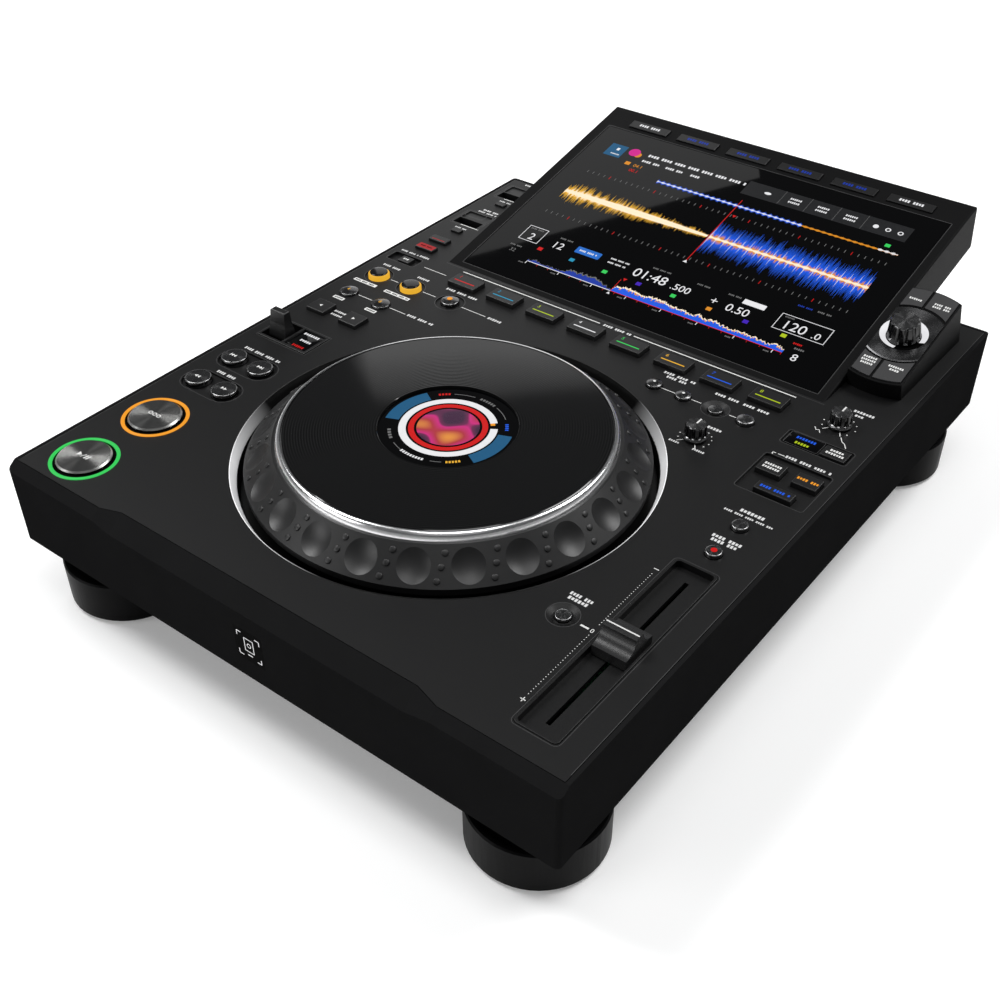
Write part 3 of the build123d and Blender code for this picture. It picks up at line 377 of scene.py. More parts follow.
def putSolid(bm, name, skins, body, replaced=None, sharp=35, plane=deckPlane()):
    # upright faces take the second skin
    bmesh.ops.recalc_face_normals(bm, faces=bm.faces)
    for face in bm.faces:
        face.material_index = 1 if len(skins) > 1 and abs(face.normal.z) < 0.35 else 0
    bmesh.ops.transform(bm, matrix=plane, verts=bm.verts)
    piece = putPiece(bm, name, skins, body, sharp)
    if replaced:
        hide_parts(replaced)
    return piece


# flat marks, drawn in mm and then laid on a plane


def addBar(bm, x, y, width, height, turn=0.0):
    place = Matrix.Translation((x, y, 0)) @ Matrix.Rotation(math.radians(turn), 4, "Z")
    size = Matrix.Diagonal((width, height, 1, 1))
    bmesh.ops.create_grid(bm, x_segments=1, y_segments=1, size=0.5, matrix=place @ size)


def addLine(bm, start, end, width):
    along = Vector(end) - Vector(start)
    middle = (Vector(start) + Vector(end)) / 2
    addBar(bm, *middle, along.length, width, math.degrees(math.atan2(along.y, along.x)))


def addDisc(bm, x, y, radius, segments=24, turn=0.0, stretch=(1, 1)):
    place = Matrix.Translation((x, y, 0)) @ Matrix.Rotation(math.radians(turn), 4, "Z")
    place = place @ Matrix.Diagonal((*stretch, 1, 1))
    bmesh.ops.create_circle(bm, cap_ends=True, radius=radius, segments=segments, matrix=place)


def addTriangle(bm, x, y, radius, turn=0.0):
    # one corner points along the turn, 0 being to the right
    addDisc(bm, x, y, radius, 3, turn - 90)


def addSpike(bm, x, y, width, half):
    addDisc(bm, x, y, 1.0, 4, 0, (width / 2, half))


def addRing(bm, x, y, inner, outer, start=0.0, sweep=360.0, steps=24):
    at = Vector((math.cos(math.radians(start)), math.sin(math.radians(start)), 0))
    centre = Vector((x, y, 0))
    ends = [bm.verts.new(centre + at * inner), bm.verts.new(centre + at * outer)]
    bmesh.ops.spin(
        bm, geom=[*ends, bm.edges.new(ends)], cent=centre, axis=(0, 0, 1), angle=math.radians(sweep),
        steps=steps, use_merge=sweep == 360.0,
    )


def addRounded(bm, x0, x1, y0, y1, corner):
    place = Matrix.Translation(((x0 + x1) / 2, (y0 + y1) / 2, 0))
    place = place @ Matrix.Diagonal((x1 - x0, y1 - y0, 1, 1))
    made = bmesh.ops.create_grid(bm, x_segments=1, y_segments=1, size=0.5, matrix=place)["verts"]
    bmesh.ops.bevel(bm, geom=made, offset=corner, segments=4, profile=0.5, affect="VERTICES", material=-1)


def addOutline(bm, x0, x1, y0, y1, corner, line):
    # thin rounded frame, its outer edge on the given box
    shape = bmesh.new()
    addRounded(shape, x0, x1, y0, y1, corner)
    faces = list(shape.faces)
    bmesh.ops.inset_region(shape, faces=faces, thickness=line, use_boundary=True, use_even_offset=True)
    middle = Vector(((x0 + x1) / 2, (y0 + y1) / 2, 0))
    centre = min(shape.faces, key=lambda face: (face.calc_center_median() - middle).length)
    bmesh.ops.delete(shape, geom=[centre], context="FACES")
    holder = bpy.data.meshes.new("outline")
    shape.to_mesh(holder)
    shape.free()
    bm.from_mesh(holder)
    bpy.data.meshes.remove(holder)


def addFrame(bm, x0, x1, y0, y1, line):
    for y in (y0, y1):
        addBar(bm, (x0 + x1) / 2, y, x1 - x0 + line, line)
    for x in (x0, x1):
        addBar(bm, x, (y0 + y1) / 2, line, y1 - y0 - line)


def addLabel(bm, x0, x1, y, height):
    # a legend's place, filled with a row of small plain blocks
    gap = height * 0.24
    count = max(1, round((x1 - x0 + gap) / (height * 0.78)))
    step = (x1 - x0 + gap) / count
    for index in range(count):
        if count > 7 and index % 5 == 4:
            continue
        tall = height * (0.8 if index % 3 == 1 else 1)
        addBar(bm, x0 + step * (index + 0.5) - gap / 2, y, step - gap, tall)


def addRows(bm, x, y, halves, pitch, height):
    # centred legends of the given half widths, from back to front
    for row, half in enumerate(halves):
        addLabel(bm, x - half, x + half, y + ((len(halves) - 1) / 2 - row) * pitch, height)


def addBend(bm, corners, width):
    # a line through several points
    for start, end in zip(corners, corners[1:]):
        addLine(bm, start, end, width)


def addDigits(bm, text, x, y, size):
    # plain numerals, made a mesh and then laid into the marks
    curve = bpy.data.curves.new("digits", "FONT")
    curve.body = text
    curve.size = size
    holder = bpy.data.objects.new("digits", curve)
    link(holder)
    bpy.context.view_layer.update()
    mesh = bpy.data.meshes.new_from_object(holder)
    mesh.transform(Matrix.Translation((x, y, 0)))
    bm.from_mesh(mesh)
    bpy.data.objects.remove(holder)
    bpy.data.curves.remove(curve)
    bpy.data.meshes.remove(mesh)


def putMarks(bm, name, plane, material, body="chassis"):
    bm.normal_update()
    bmesh.ops.reverse_faces(bm, faces=[face for face in bm.faces if face.normal.z < 0])
    bmesh.ops.transform(bm, matrix=plane, verts=bm.verts)
    return putPiece(bm, name, [material], body)


def putOnKey(bm, name, node, ink, layer=1):
    # over a node's top and moving with it, one thickness of print per layer
    putMarks(bm, name, deckPlane(riseOf(node) + layer * printLift), ink, node)


def drawn(add, rows):
    # fresh marks, one call of a drawing function per row
    bm = bmesh.new()
    for row in rows:
        add(bm, *row)
    return bm


# print on the deck

deckPrint = {
    "words": [  # x from, x to, back, height
        (-153.6, -141.0, 260.6, 1.9), (-126.8, -118.5, 260.6, 1.9), (-104.6, -82.6, 260.6, 2.0),
        (-64.8, -55.9, 248.7, 2.0), (-102.9, -84.6, 223.8, 2.0), (-9.0, 9.0, 281.9, 2.0),
        (43.6, 62.4, 261.6, 2.0), (47.0, 58.6, 258.6, 2.0), (75.5, 88.8, 260.2, 2.0),
        (91.9, 107.8, 260.1, 2.0), (87.5, 95.2, 232.0, 2.0), (77.9, 83.5, 211.2, 1.5),
        (91.3, 97.6, 211.2, 1.5), (130.4, 154.3, 233.2, 2.0), (133.6, 145.7, 183.9, 2.2),
        (127.1, 151.9, 180.3, 1.4), (132.4, 147.0, 160.8, 2.1), (133.4, 146.0, 158.0, 2.1),
        (139.2, 149.9, 289.2, 2.0), (141.4, 145.6, 285.6, 1.8), (104.4, 115.7, 90.6, 2.0),
        (105.2, 114.8, 87.8, 2.0), (-150.4, -124.4, 144.4, 2.0), (-144.6, -130.2, 118.8, 2.0),
        (-138.8, -130.8, 202.6, 1.7), (-138.4, -130.4, 199.0, 1.7), (-157.0, -144.0, 281.0, 1.6),
        (-142.8, -136.0, 281.4, 1.9), (-151.0, -139.6, 354.0, 1.8), (-152.6, -138.8, 350.8, 1.6),
        (-151.8, -140.4, 399.4, 1.8), (-150.8, -142.3, 324.9, 1.4), (-150.8, -142.3, 370.4, 1.4),
    ],
    "lines": [  # x from, x to, back, thickness
        (-109.5, -11.6, 281.9, 0.75), (10.9, 110.2, 281.9, 0.75), (-131.6, -114.7, 272.1, 0.45),
        (-84.3, -66.9, 248.8, 0.45), (-113.0, -103.2, 248.9, 0.45), (-137.2, -131.6, 248.6, 0.45),
        (-140.3, -129.7, 223.8, 0.45), (-116.1, -104.3, 223.5, 0.45), (50.4, 59.6, 247.5, 0.45),
        (68.4, 74.4, 247.7, 0.45), (91.0, 94.8, 247.2, 0.45), (-150.3, -136.0, 329.2, 0.6),
        (-150.3, -136.0, 374.2, 0.6), (119.1, 123.2, 76.8, 1.0), (124.0, 126.6, 125.3, 0.45),
        (124.0, 126.6, 29.0, 0.45), (126.4, 129.8, 232.9, 0.5),
    ],
    "badges": [  # x from, x to, back
        (-155.6, -138.6, 237.1), (-131.9, -113.2, 236.9), (-151.0, -143.2, 214.5), (-126.9, -119.0, 214.8),
    ],
    "badge": {"half": 1.4, "corner": 0.5, "margin": 1.0, "print": 1.3},
    "scale": {
        "x": 125.3, "runs": ((32.6, 73.8), (81.6, 121.6)), "count": 26, "radius": 0.24,
        "end": (29.0, 0.45, 2.6), "zero": ("0", 124.2, 75.5, 3.4),
    },
    "hook": ((124.1, 231.0), (123.4, 232.7), (125.2, 232.9)),
}
putMarks(drawn(addLabel, deckPrint["words"]), "deckWords", deckPlane(printLift), paleInk)
badge = deckPrint["badge"]
marks = bmesh.new()
for x0, x1, back, line in deckPrint["lines"]:
    addBar(marks, (x0 + x1) / 2, back, x1 - x0, line)
for x0, x1, back in deckPrint["badges"]:
    addRounded(marks, x0, x1, back - badge["half"], back + badge["half"], badge["corner"])
scale = deckPrint["scale"]
for start, end in scale["runs"]:
    for index in range(scale["count"]):
        addDisc(marks, scale["x"], start + (end - start) * index / (scale["count"] - 1), scale["radius"], 6)
addBar(marks, scale["x"], *scale["end"])
addBend(marks, deckPrint["hook"], 0.5)
addDigits(marks, *scale["zero"])
putMarks(marks, "deckPrint", deckPlane(printLift), whiteInk)
marks = bmesh.new()
for x0, x1, back in deckPrint["badges"]:
    addLabel(marks, x0 + badge["margin"], x1 - badge["margin"], back, badge["print"])
putMarks(marks, "badgePrint", deckPlane(2 * printLift), blackAndPaintedShade)

# dots round each rotary knob, two ticks where its travel ends, and two bent lines beside them
knobPrint = {
    "jog_feel_knob": {"radius": 8.3, "dots": (183, 208, 66, 43, 20, 355, 331), "ticks": (229, 301)},
    "jog_speed_knob": {"radius": 8.5, "dots": (209, 178, 60, 32, 1, 322), "ticks": (232, 298)},
}
knobMark = {"dot": 0.4, "tick": (5.9, 9.4), "line": 0.45}
bentLines = (
    ((129.9, 264.4), (131.4, 262.4), (132.9, 263.2), (134.1, 261.0)),
    ((144.4, 263.6), (146.4, 260.6), (148.4, 259.4), (150.4, 256.4)),
)
marks = bmesh.new()
for node, ring in knobPrint.items():
    middle = Vector(middleOf(node))
    for angle in ring["dots"]:
        at = Matrix.Rotation(math.radians(angle), 2) @ Vector((ring["radius"], 0))
        addDisc(marks, *(middle + at), knobMark["dot"], 8)
    for angle in ring["ticks"]:
        at = Matrix.Rotation(math.radians(angle), 2) @ Vector((1, 0))
        start, end = (middle + at * reach for reach in knobMark["tick"])
        addLine(marks, start, end, knobMark["line"])
for corners in bentLines:
    addBend(marks, corners, knobMark["line"])
putMarks(marks, "knobScales", deckPlane(printLift), whiteInk)

# thin painted highlights along the edges of recesses, seams and trays, and the painted shadow in the gap
# round the play and cue buttons
outlines = {
    "boxes": [  # x from, x to, back from, back to, corner
        (120.9, 157.2, 198.4, 231.1, 1.9), (121.1, 156.9, 242.5, 255.3, 1.9),
        (-158.6, -136.9, 267.4, 278.2, 1.9), (127.5, 150.7, 16.6, 138.1, 2.9),
        (-156.2, -118.9, 157.3, 179.2, 0.8), (-158.8, -136.6, 328.0, 349.2, 1.8),
        (-158.8, -136.6, 373.0, 394.2, 1.8), (-157.0, -142.8, 341.0, 347.6, 1.2),
    ],
    "line": 0.2,
    "capsules": [(-136.7, 106.9), (-136.6, 132.5)],
    "capsule": {"half": (19.4, 9.5), "line": 0.22},
    "rings": {  # node: inner radius
        "delete_key": 7.35, "tempo_reset_key": 7.35,
        "loop_in_key": 8.55, "loop_out_key": 8.55, "reloop_key": 8.55,
    },
    "seam": {"x": 162.0, "ends": (9.6, 401.8), "line": 0.22},
    "hinge": {"drop": 1.6, "size": (249.6, 0.25)},
    "gap": (13.62, 15.1),
}
marks = bmesh.new()
for x0, x1, back0, back1, corner in outlines["boxes"]:
    addOutline(marks, x0, x1, back0, back1, corner, outlines["line"])
half, tall = outlines["capsule"]["half"]
for x, back in outlines["capsules"]:
    box = (x - half, x + half, back - tall, back + tall)
    addOutline(marks, *box, tall - 0.6, outlines["capsule"]["line"])
for node, inner in outlines["rings"].items():
    addRing(marks, *middleOf(node), inner, inner + outlines["line"], steps=48)
seam = outlines["seam"]
for x in (-seam["x"], seam["x"]):
    addBar(marks, x, sum(seam["ends"]) / 2, seam["line"], seam["ends"][1] - seam["ends"][0])
addBar(marks, 0, display["front"] - outlines["hinge"]["drop"], *outlines["hinge"]["size"])
putMarks(marks, "deckEdgeHighlights", deckPlane(printLift), paintedEdgeHighlight)
# painted shadow: a black ring on the deck in the gap between each transport button and its lit ring
marks = bmesh.new()
for node in ("play_button", "cue_button"):
    addRing(marks, *middleOf(node), *outlines["gap"], steps=64)
putMarks(marks, "paintedButtonShadows", deckPlane(printLift), blackAndPaintedShade)
print("deck marked")

# round caps: transport buttons, search keys, small glossy keys

capFoot = -4.4
transport = {
    "radius": 13.55, "rise": 1.9, "bevel": 0.8, "flat": 0.4,
    "ring": (15.2, 17.1), "ringRise": 0.5, "ringBevel": 0.35,
}
for node, color in (("play_button", "green"), ("cue_button", "amber")):
    centre = middleOf(node)
    radius, rise, bevel = transport["radius"], transport["rise"], transport["bevel"]
    profile = [(0, capFoot), (radius, capFoot), (radius, rise - bevel), (radius - bevel, rise)]
    profile += [(radius - bevel - transport["flat"], rise), (0, rise)]
    top = spun(node + "Spun", (0.36, 0.36, 0.35), 0.24, deckPlane(), centre)
    cap = spinProfile(profile, centre, 96)
    # the upright sides take the black skin as painted shade
    putSolid(cap, node + "Cap", [top, blackAndPaintedShade], node, node)
    low, high = transport["ring"]
    rise, bevel = transport["ringRise"], transport["ringBevel"]
    loop = [(low, -1), (high, -1), (high, rise - bevel), (high - bevel, rise)]
    loop += [(low + bevel, rise), (low, rise - bevel)]
    ring = spinProfile(loop, centre, 96, closed=True)
    putSolid(ring, node + "Ring", [lit[color]], "chassis", "light_rings", sharp=60)

searchKeys = ("search_back_key", "search_forward_key", "track_back_key", "track_forward_key")
capShapes = {  # node: radius, rise of the edge, rise of the middle, bevel
    **dict.fromkeys(searchKeys, (7.0, 2.1, 2.2, 0.55)),
    "memory_key": (4.6, 2.0, 2.6, 0.5), "tempo_range_key": (4.0, 2.2, 2.4, 0.5),
    "master_tempo_key": (4.0, 2.2, 2.4, 0.5), "delete_key": (3.8, 0.2, 0.5, 0.3),
    "tempo_reset_key": (3.7, 0.2, 0.5, 0.3), "reloop_key": (5.3, 1.7, 2.7, 0.3),
}
pairedCaps = {  # node: places, then as above
    "call_keys": (((46.2, 247.4), (64.0, 247.0)), (4.3, 1.7, 2.6, 0.3)),
    "beat_loop_keys": (((-146.8, 223.0), (-122.4, 223.0)), (5.4, 1.3, 2.2, 0.3)),
}
capTones = {"single": (0.2, 0.2, 0.202), "paired": (0.15, 0.15, 0.152)}


def capProfile(radius, edge, middle, bevel, foot=capFoot, steps=7):
    # side, bevel, then a shallow dome to the middle
    crown = radius - bevel
    profile = [(0, foot), (radius, foot), (radius, edge - bevel), (radius - bevel * 0.3, edge - bevel * 0.3)]
    for k in range(steps + 1):
        inward = 1 - k / steps
        profile.append((crown * inward, edge + (middle - edge) * (1 - inward**2)))
    return profile


def putCap(node, centre, shape, tone, mark=""):
    skin = spun(f"{node}Skin{mark}", tone, 0.16, deckPlane(), centre, twist=0.95)
    cap = spinProfile(capProfile(*shape), centre, 56)
    putSolid(cap, f"{node}Cap{mark}", [skin], node, node, 50)


for node, shape in capShapes.items():
    putCap(node, middleOf(node), shape, capTones["single"])
for node, (places, shape) in pairedCaps.items():
    for index, centre in enumerate(places):
        putCap(node, centre, shape, capTones["paired"], index)

# loop keys: a lit skirt with a glossy domed cap standing on it
loopKeys = {"skirt": (6.3, 2.2, 0.6), "cap": (5.3, 2.75, 3.2, 0.3), "sunk": 0.4}
for node in ("loop_in_key", "loop_out_key"):
    centre = middleOf(node)
    radius, rise, bevel = loopKeys["skirt"]
    skirt = [(0, capFoot), (radius, capFoot), (radius, rise - bevel), (radius - bevel, rise), (0, rise)]
    shape = spinProfile(skirt, centre, 56)
    putSolid(shape, node + "Skirt", [lit["gold"]], node, node, 50)
    dome = capProfile(*loopKeys["cap"], foot=rise - loopKeys["sunk"])
    shape = spinProfile(dome, centre, 56)
    putSolid(shape, node + "Dome", [keyGloss], node, node, 50)
print("round caps turned")

# rotary knobs with fluted sides
jogKnob = {
    "plane": deckPlane(), "flutes": 10, "depth": 0.75, "from": 2.3, "pointer": (2.5, 0.8, 4.4),
    "profile": [
        (0, 0.4), (6.3, 0.4), (6.3, 1.5), (5.75, 2.3), (5.6, 2.6), (5.35, 8.0), (4.9, 8.6), (0, 8.6),
    ],
}
knobs = {
    "jog_feel_knob": {**jogKnob, "centre": middleOf("jog_feel_knob")},
    "jog_speed_knob": {**jogKnob, "centre": middleOf("jog_speed_knob")},
    "browse_knob": {
        "plane": browsePlane(), "centre": (0, 0), "flutes": 12, "depth": 0.95, "from": 0.3,
        "profile": [(0, -1.2), (8.9, -1.2), (8.85, 0.2), (8.7, 0.8), (7.75, 9.2), (7.1, 10.0), (0, 10.0)],
    },
}
for node, knob in knobs.items():
    shape = spinProfile(knob["profile"], (0, 0), knob["flutes"] * 8)
    for vert in shape.verts:
        radius = vert.co.xy.length
        if radius > 4 and vert.co.z > knob["from"]:
            wave = max(0.0, math.cos(knob["flutes"] * math.atan2(vert.co.y, vert.co.x))) ** 0.7
            vert.co.xy *= 1 - knob["depth"] * wave / radius
    bmesh.ops.translate(shape, verts=shape.verts, vec=(*knob["centre"], 0))
    knobSkin = spun(node + "Skin", (0.16, 0.16, 0.162), 0.2, knob["plane"], knob["centre"], 0.95, twist=0.94)
    putSolid(shape, node + "Body", [knobSkin, keyGloss], node, node, 40, knob["plane"])
for node in ("jog_feel_knob", "jog_speed_knob"):
    x, back = middleOf(node)
    ahead, width, length = jogKnob["pointer"]
    pointer = drawn(addBar, [(x, back + ahead, width, length)])
    putOnKey(pointer, node + "Pointer", node, whiteInk)

# lit funnel round the browse knob, black in front
browseRing = {"profile": [(9.2, -1.9), (12.5, -1.9), (12.5, 0.7), (9.2, -0.8)], "front": -52, "half": 40}
funnel = spinProfile(browseRing["profile"], (0, 0), 72, closed=True)
skins = [lit["white"], blackAndPaintedShade]
ringPiece = putSolid(funnel, "browseRing", skins, "chassis", "light_rings", 60, browsePlane())
back = browsePlane().inverted()
for polygon in ringPiece.data.polygons:
    at = back @ polygon.center
    if abs(math.degrees(math.atan2(at.y, at.x)) - browseRing["front"]) < browseRing["half"]:
        polygon.material_index = 1

# fader cap: the bright line on its crest
crest = drawn(addBar, [(*middleOf("tempo_fader_cap"), 16.0, 0.7)])
putOnKey(crest, "faderLine", "tempo_fader_cap", whiteInk)
print("knobs turned")

# marks that ride on the keys

hotCues = {
    "line": (14.4, 0.85), "lineDrop": -1.7, "numberPlace": (-6.6, 1.3), "numberSize": 3.6,
    "colors": ("red", "cyan", "lime", "white", "green", "gold", "blue", "lime"),
}
for number, (node, color) in enumerate(zip(hotCueKeys, hotCues["colors"]), 1):
    x, back = middleOf(node)
    side, rise = hotCues["numberPlace"]
    marks = drawn(addBar, [(x, back + hotCues["lineDrop"], *hotCues["line"])])
    addDigits(marks, str(number), x + side, back + rise, hotCues["numberSize"])
    putOnKey(marks, f"hotCueMark{number}", node, lit[color])

keyLegends = {  # node: material, half widths of its rows from back to front, height
    "beat_sync_key": (whiteInk, (4.3, 4.3), 1.7), "master_key": (lit["amber"], (5.4,), 1.9),
    "key_sync_key": (lit["blue"], (7.6,), 1.9), "jog_mode_key": (whiteInk, (3.4, 4.6), 1.7),
    "time_mode_key": (whiteInk, (1.8,), 1.6),
}
for node, (ink, halves, height) in keyLegends.items():
    legend = drawn(addRows, [(*middleOf(node), halves, 2.7, height)])
    putOnKey(legend, node + "Legend", node, ink)

# play and pause, three small rings on the cue button, arrows on the search keys
playMark = {
    "triangle": (-3.0, 1.7), "slash": (-0.1, (0.3, 3.4, -22)),
    "pauses": (1.9, 3.4), "pause": (0.75, 3.1, -14),
}
x, back = middleOf("play_button")
side, size = playMark["triangle"]
marks = drawn(addTriangle, [(x + side, back, size)])
side, slash = playMark["slash"]
addBar(marks, x + side, back, *slash)
for side in playMark["pauses"]:
    addBar(marks, x + side, back, *playMark["pause"])
putMarks(marks, "playMark", deckPlane(transport["rise"] + printLift), whiteInk, "play_button")
cueMark = {"sides": (-2.9, 0, 2.9), "ring": (0.75, 1.25)}
x, back = middleOf("cue_button")
marks = bmesh.new()
for side in cueMark["sides"]:
    addRing(marks, x + side, back, *cueMark["ring"])
putMarks(marks, "cueMark", deckPlane(transport["rise"] + printLift), whiteInk, "cue_button")
arrow = {"size": 1.25, "step": 0.95, "bar": 2.3, "barSize": (0.45, 2.2), "rise": 2.2}
for node in searchKeys:
    x, back = middleOf(node)
    ahead, turn = (1, 0) if "forward" in node else (-1, 180)
    marks = bmesh.new()
    for step in (-arrow["step"], arrow["step"]):
        addTriangle(marks, x + ahead * step, back, arrow["size"], turn)
    if "track" in node:
        addBar(marks, x + ahead * arrow["bar"], back, *arrow["barSize"])
    putMarks(marks, node + "Mark", deckPlane(arrow["rise"] + printLift), whiteInk, node)
jumps = drawn(addTriangle, [(-146.4, 199.5, 1.3, 180), (-121.9, 199.5, 1.3, 0)])
putOnKey(jumps, "beatJumpMark", "beat_jump_keys", whiteInk)
dots = {  # node: places, colour, radius, rise
    "call_keys": (pairedCaps["call_keys"][0], whiteInk, 0.75, 2.62),
    "reloop_key": (((-92.7, 248.9),), lit["amber"], 1.6, 2.7),
    "master_tempo_key": ((middleOf("master_tempo_key"),), lit["red"], 1.5, 2.4),
}
for node, (places, ink, radius, rise) in dots.items():
    marks = drawn(addDisc, [(*place, radius) for place in places])
    putMarks(marks, node + "Dot", deckPlane(rise + printLift), ink, node)
beatLoops = {"numbers": "48", "side": -1.0, "drop": -1.2, "size": 3.4, "rise": 2.2}
marks = bmesh.new()
for (x, back), number in zip(pairedCaps["beat_loop_keys"][0], beatLoops["numbers"]):
    addDigits(marks, number, x + beatLoops["side"], back + beatLoops["drop"], beatLoops["size"])
putMarks(marks, "beatLoopNumbers", deckPlane(beatLoops["rise"] + printLift), lit["gold"], "beat_loop_keys")
modeKeys = {
    "panel": (-151.6, -139.4, 288.0, 293.0, 0.4), "line": (-145.5, 301.7, 9.6, 0.7),
    "words": (-149.6, -141.4, 290.5, 1.2),
}
marks = drawn(addRounded, [modeKeys["panel"]])
addBar(marks, *modeKeys["line"])
putOnKey(marks, "modeKeyLight", "mode_keys", lit["deepRed"])
words = drawn(addLabel, [modeKeys["words"]])
putOnKey(words, "modeKeyPrint", "mode_keys", blackAndPaintedShade, 2)

# glossy windows beside the lever and the jog mode key, and the words in them
panes = {  # x from, x to, back from, back to, bottom, top, corner, edge
    "jogModePane": (122.9, 141.3, 243.5, 254.4, -0.8, 0.25, 1.0, 0.35),
    "leverPane": (-136.8, -121.4, 159.9, 176.7, -0.8, -0.1, 0.3, 0.15),
}
for name, shape in panes.items():
    putSolid(slab(*shape), name, [glassSkin], "chassis")
# painted highlight along the edge of the jog mode window
edge = drawn(addOutline, [(*panes["jogModePane"][:4], 1.0, 0.2)])
putMarks(edge, "jogModeEdgeHighlight", deckPlane(panes["jogModePane"][5] + printLift), paintedEdgeHighlight)
paneWords = {  # name: pane, colour, label
    "jogModeUpper": ("jogModePane", "blue", (127.1, 137.2, 250.8, 2.0)),
    "jogModeLower": ("jogModePane", "lime", (128.3, 135.5, 246.4, 2.0)),
    "leverUpper": ("leverPane", "white", (-135.0, -124.4, 174.4, 1.9)),
    "leverMiddle": ("leverPane", "white", (-132.2, -124.8, 168.2, 1.9)),
    "leverLower": ("leverPane", "red", (-132.4, -124.6, 162.2, 1.9)),
}
for name, (pane, color, label) in paneWords.items():
    putMarks(drawn(addLabel, [label]), name, deckPlane(panes[pane][5] + printLift), lit[color])
print("keys marked")

# jog wheel: clear-topped disc with its lit middle sunk below it, chrome ring, bumps between the dimples

cx, cy = jog["centre"]
disc = {
    "radius": 79.7, "top": 16.0, "bottom": 12.6, "edge": (0.6, 0.4),
    "window": 34.0, "windowEdge": 0.2, "sunk": 14.6, "pitch": 1.3, "groove": (0.25, 0.02),
}
discSkin = surface(
    "discSkin", (0.0028, 0.0028, 0.003), 0.08, grain=500, bump=0.02, depth=0.02, spread=0.01, shine=0.62,
)
tree = discSkin.node_tree
shader = tree.nodes["Principled BSDF"]
turns = mathNode(tree, "MULTIPLY", axisDistance(tree, jog["centre"]), 2 * math.pi / disc["pitch"])
ridges = mathNode(tree, "SINE", turns)
before = shader.inputs["Normal"].links[0].from_socket
tree.links.new(addBump(tree, ridges, *disc["groove"], before), shader.inputs["Normal"])
ridge = remap(tree, ridges, 0, 1, 0.1, 0.9)
lines = mixColors(tree, ridge, (0.0002, 0.0002, 0.0003), (0.0085, 0.0085, 0.0087))
tree.links.new(lines, shader.inputs["Base Color"])
radius, top, bottom, window = (disc[key] for key in ("radius", "top", "bottom", "window"))
inward, down = disc["edge"]
profile = [(0, bottom), (radius, bottom), (radius, top - down), (radius - inward, top)]
profile += [(window + disc["windowEdge"], top), (window, top - disc["windowEdge"])]
profile += [(window, disc["sunk"]), (0, disc["sunk"])]
shape = spinProfile(profile, jog["centre"], 160)
putSolid(shape, "discTop", [discSkin], "jog_wheel", "jog_disc", 30)
trim = [
    (79.9, 12.5), (83.0, 12.5), (82.8, 13.3), (82.5, 14.1), (82.1, 14.9),
    (81.6, 15.6), (81.0, 16.0), (80.5, 16.2), (79.9, 16.2),
]
shape = spinProfile(trim, jog["centre"], 192, closed=True)
putSolid(shape, "chromeRing", [chrome], "jog_wheel", "jog_trim_ring", 60)


def putOnDisc(bm, name, ink, layer=2):
    # on the sunk middle of the disc, one thickness of print per layer
    putMarks(bm, name, deckPlane(disc["sunk"] + layer * printLift), ink, "jog_wheel")


putOnDisc(drawn(addDisc, [(cx, cy, window - 0.1, 96)]), "labelFloor", glassSkin, 1)
labelRings = {  # name: inner, outer, from, sweep, steps, colour
    "labelWhite": (20.3, 23.9, 45, 348, 96, "white"),
    "labelRed": (16.4, 19.2, 0, 360, 96, "red"),
    "labelArcLeft": (24.8, 31.6, 149, 54, 24, "softBlue"),
    "labelArcRight": (24.8, 31.6, -28.5, 51, 24, "softBlue"),
}
for name, (*ring, color) in labelRings.items():
    putOnDisc(drawn(addRing, [(cx, cy, *ring)]), name, lit[color])
labelLines = {"radii": (28.0, 28.4), "runs": ((101, 22), (50, 22), (-116, 13), (-68, 11))}
marks = drawn(addRing, [(cx, cy, *labelLines["radii"], *run, 12) for run in labelLines["runs"]])
putOnDisc(marks, "labelLines", lit["grey"])
labelWords = {  # colour: from, sweep
    "red": (127, 13), "grey": (76, 20), "blue": (31, 12), "gold": (-53, 15), "white": (-102, 28),
}
wordRing = {"radii": (27.4, 29.0), "letter": 3.2, "filled": 0.66, "extra": (-140, 4.4, 3.0)}
for color, (start, sweep) in labelWords.items():
    marks = bmesh.new()
    count = max(4, round(sweep / wordRing["letter"]))
    for index in range(count):
        at, wide = start + sweep * index / count, sweep / count * wordRing["filled"]
        addRing(marks, cx, cy, *wordRing["radii"], at, wide, 2)
    if color == "grey":
        start, step, wide = wordRing["extra"]
        for index in range(4):
            addRing(marks, cx, cy, *wordRing["radii"], start + index * step, wide, 2)
    putOnDisc(marks, "label" + color.capitalize() + "Word", lit[color])
putOnDisc(drawn(addRing, [(cx, cy, 20.4, 22.6, 40, 5, 3)]), "labelPosition", lit["amber"], 3)

# soft clouds of colour in the very middle
motif, tree, shader = newSkin("labelMotif", {"Emission Strength": 0.9, "Base Color": (0.02, 0.005, 0.01, 1)})
cloud = noiseOn(tree, 62, 0.0)
ramp = tree.nodes.new("ShaderNodeValToRGB")
stops = [
    (0.4, (0.02, 0.002, 0.03)), (0.48, (0.12, 0.004, 0.06)), (0.52, (0.62, 0.004, 0.2)),
    (0.66, (0.42, 0.012, 0.02)), (0.88, (0.9, 0.36, 0.02)),
]
for position, color in stops:
    stop = ramp.color_ramp.elements.new(position)
    stop.color = (*color, 1)
ramp.color_ramp.elements.remove(ramp.color_ramp.elements[0])
ramp.color_ramp.elements.remove(ramp.color_ramp.elements[-1])
tree.links.new(cloud, ramp.inputs[0])
tree.links.new(ramp.outputs[0], shader.inputs["Emission Color"])
tree.links.new(remap(tree, cloud, 0.25, 0.4), shader.inputs["Roughness"])
putOnDisc(drawn(addDisc, [(cx, cy, 15.2, 64)]), "labelMotif", motif)

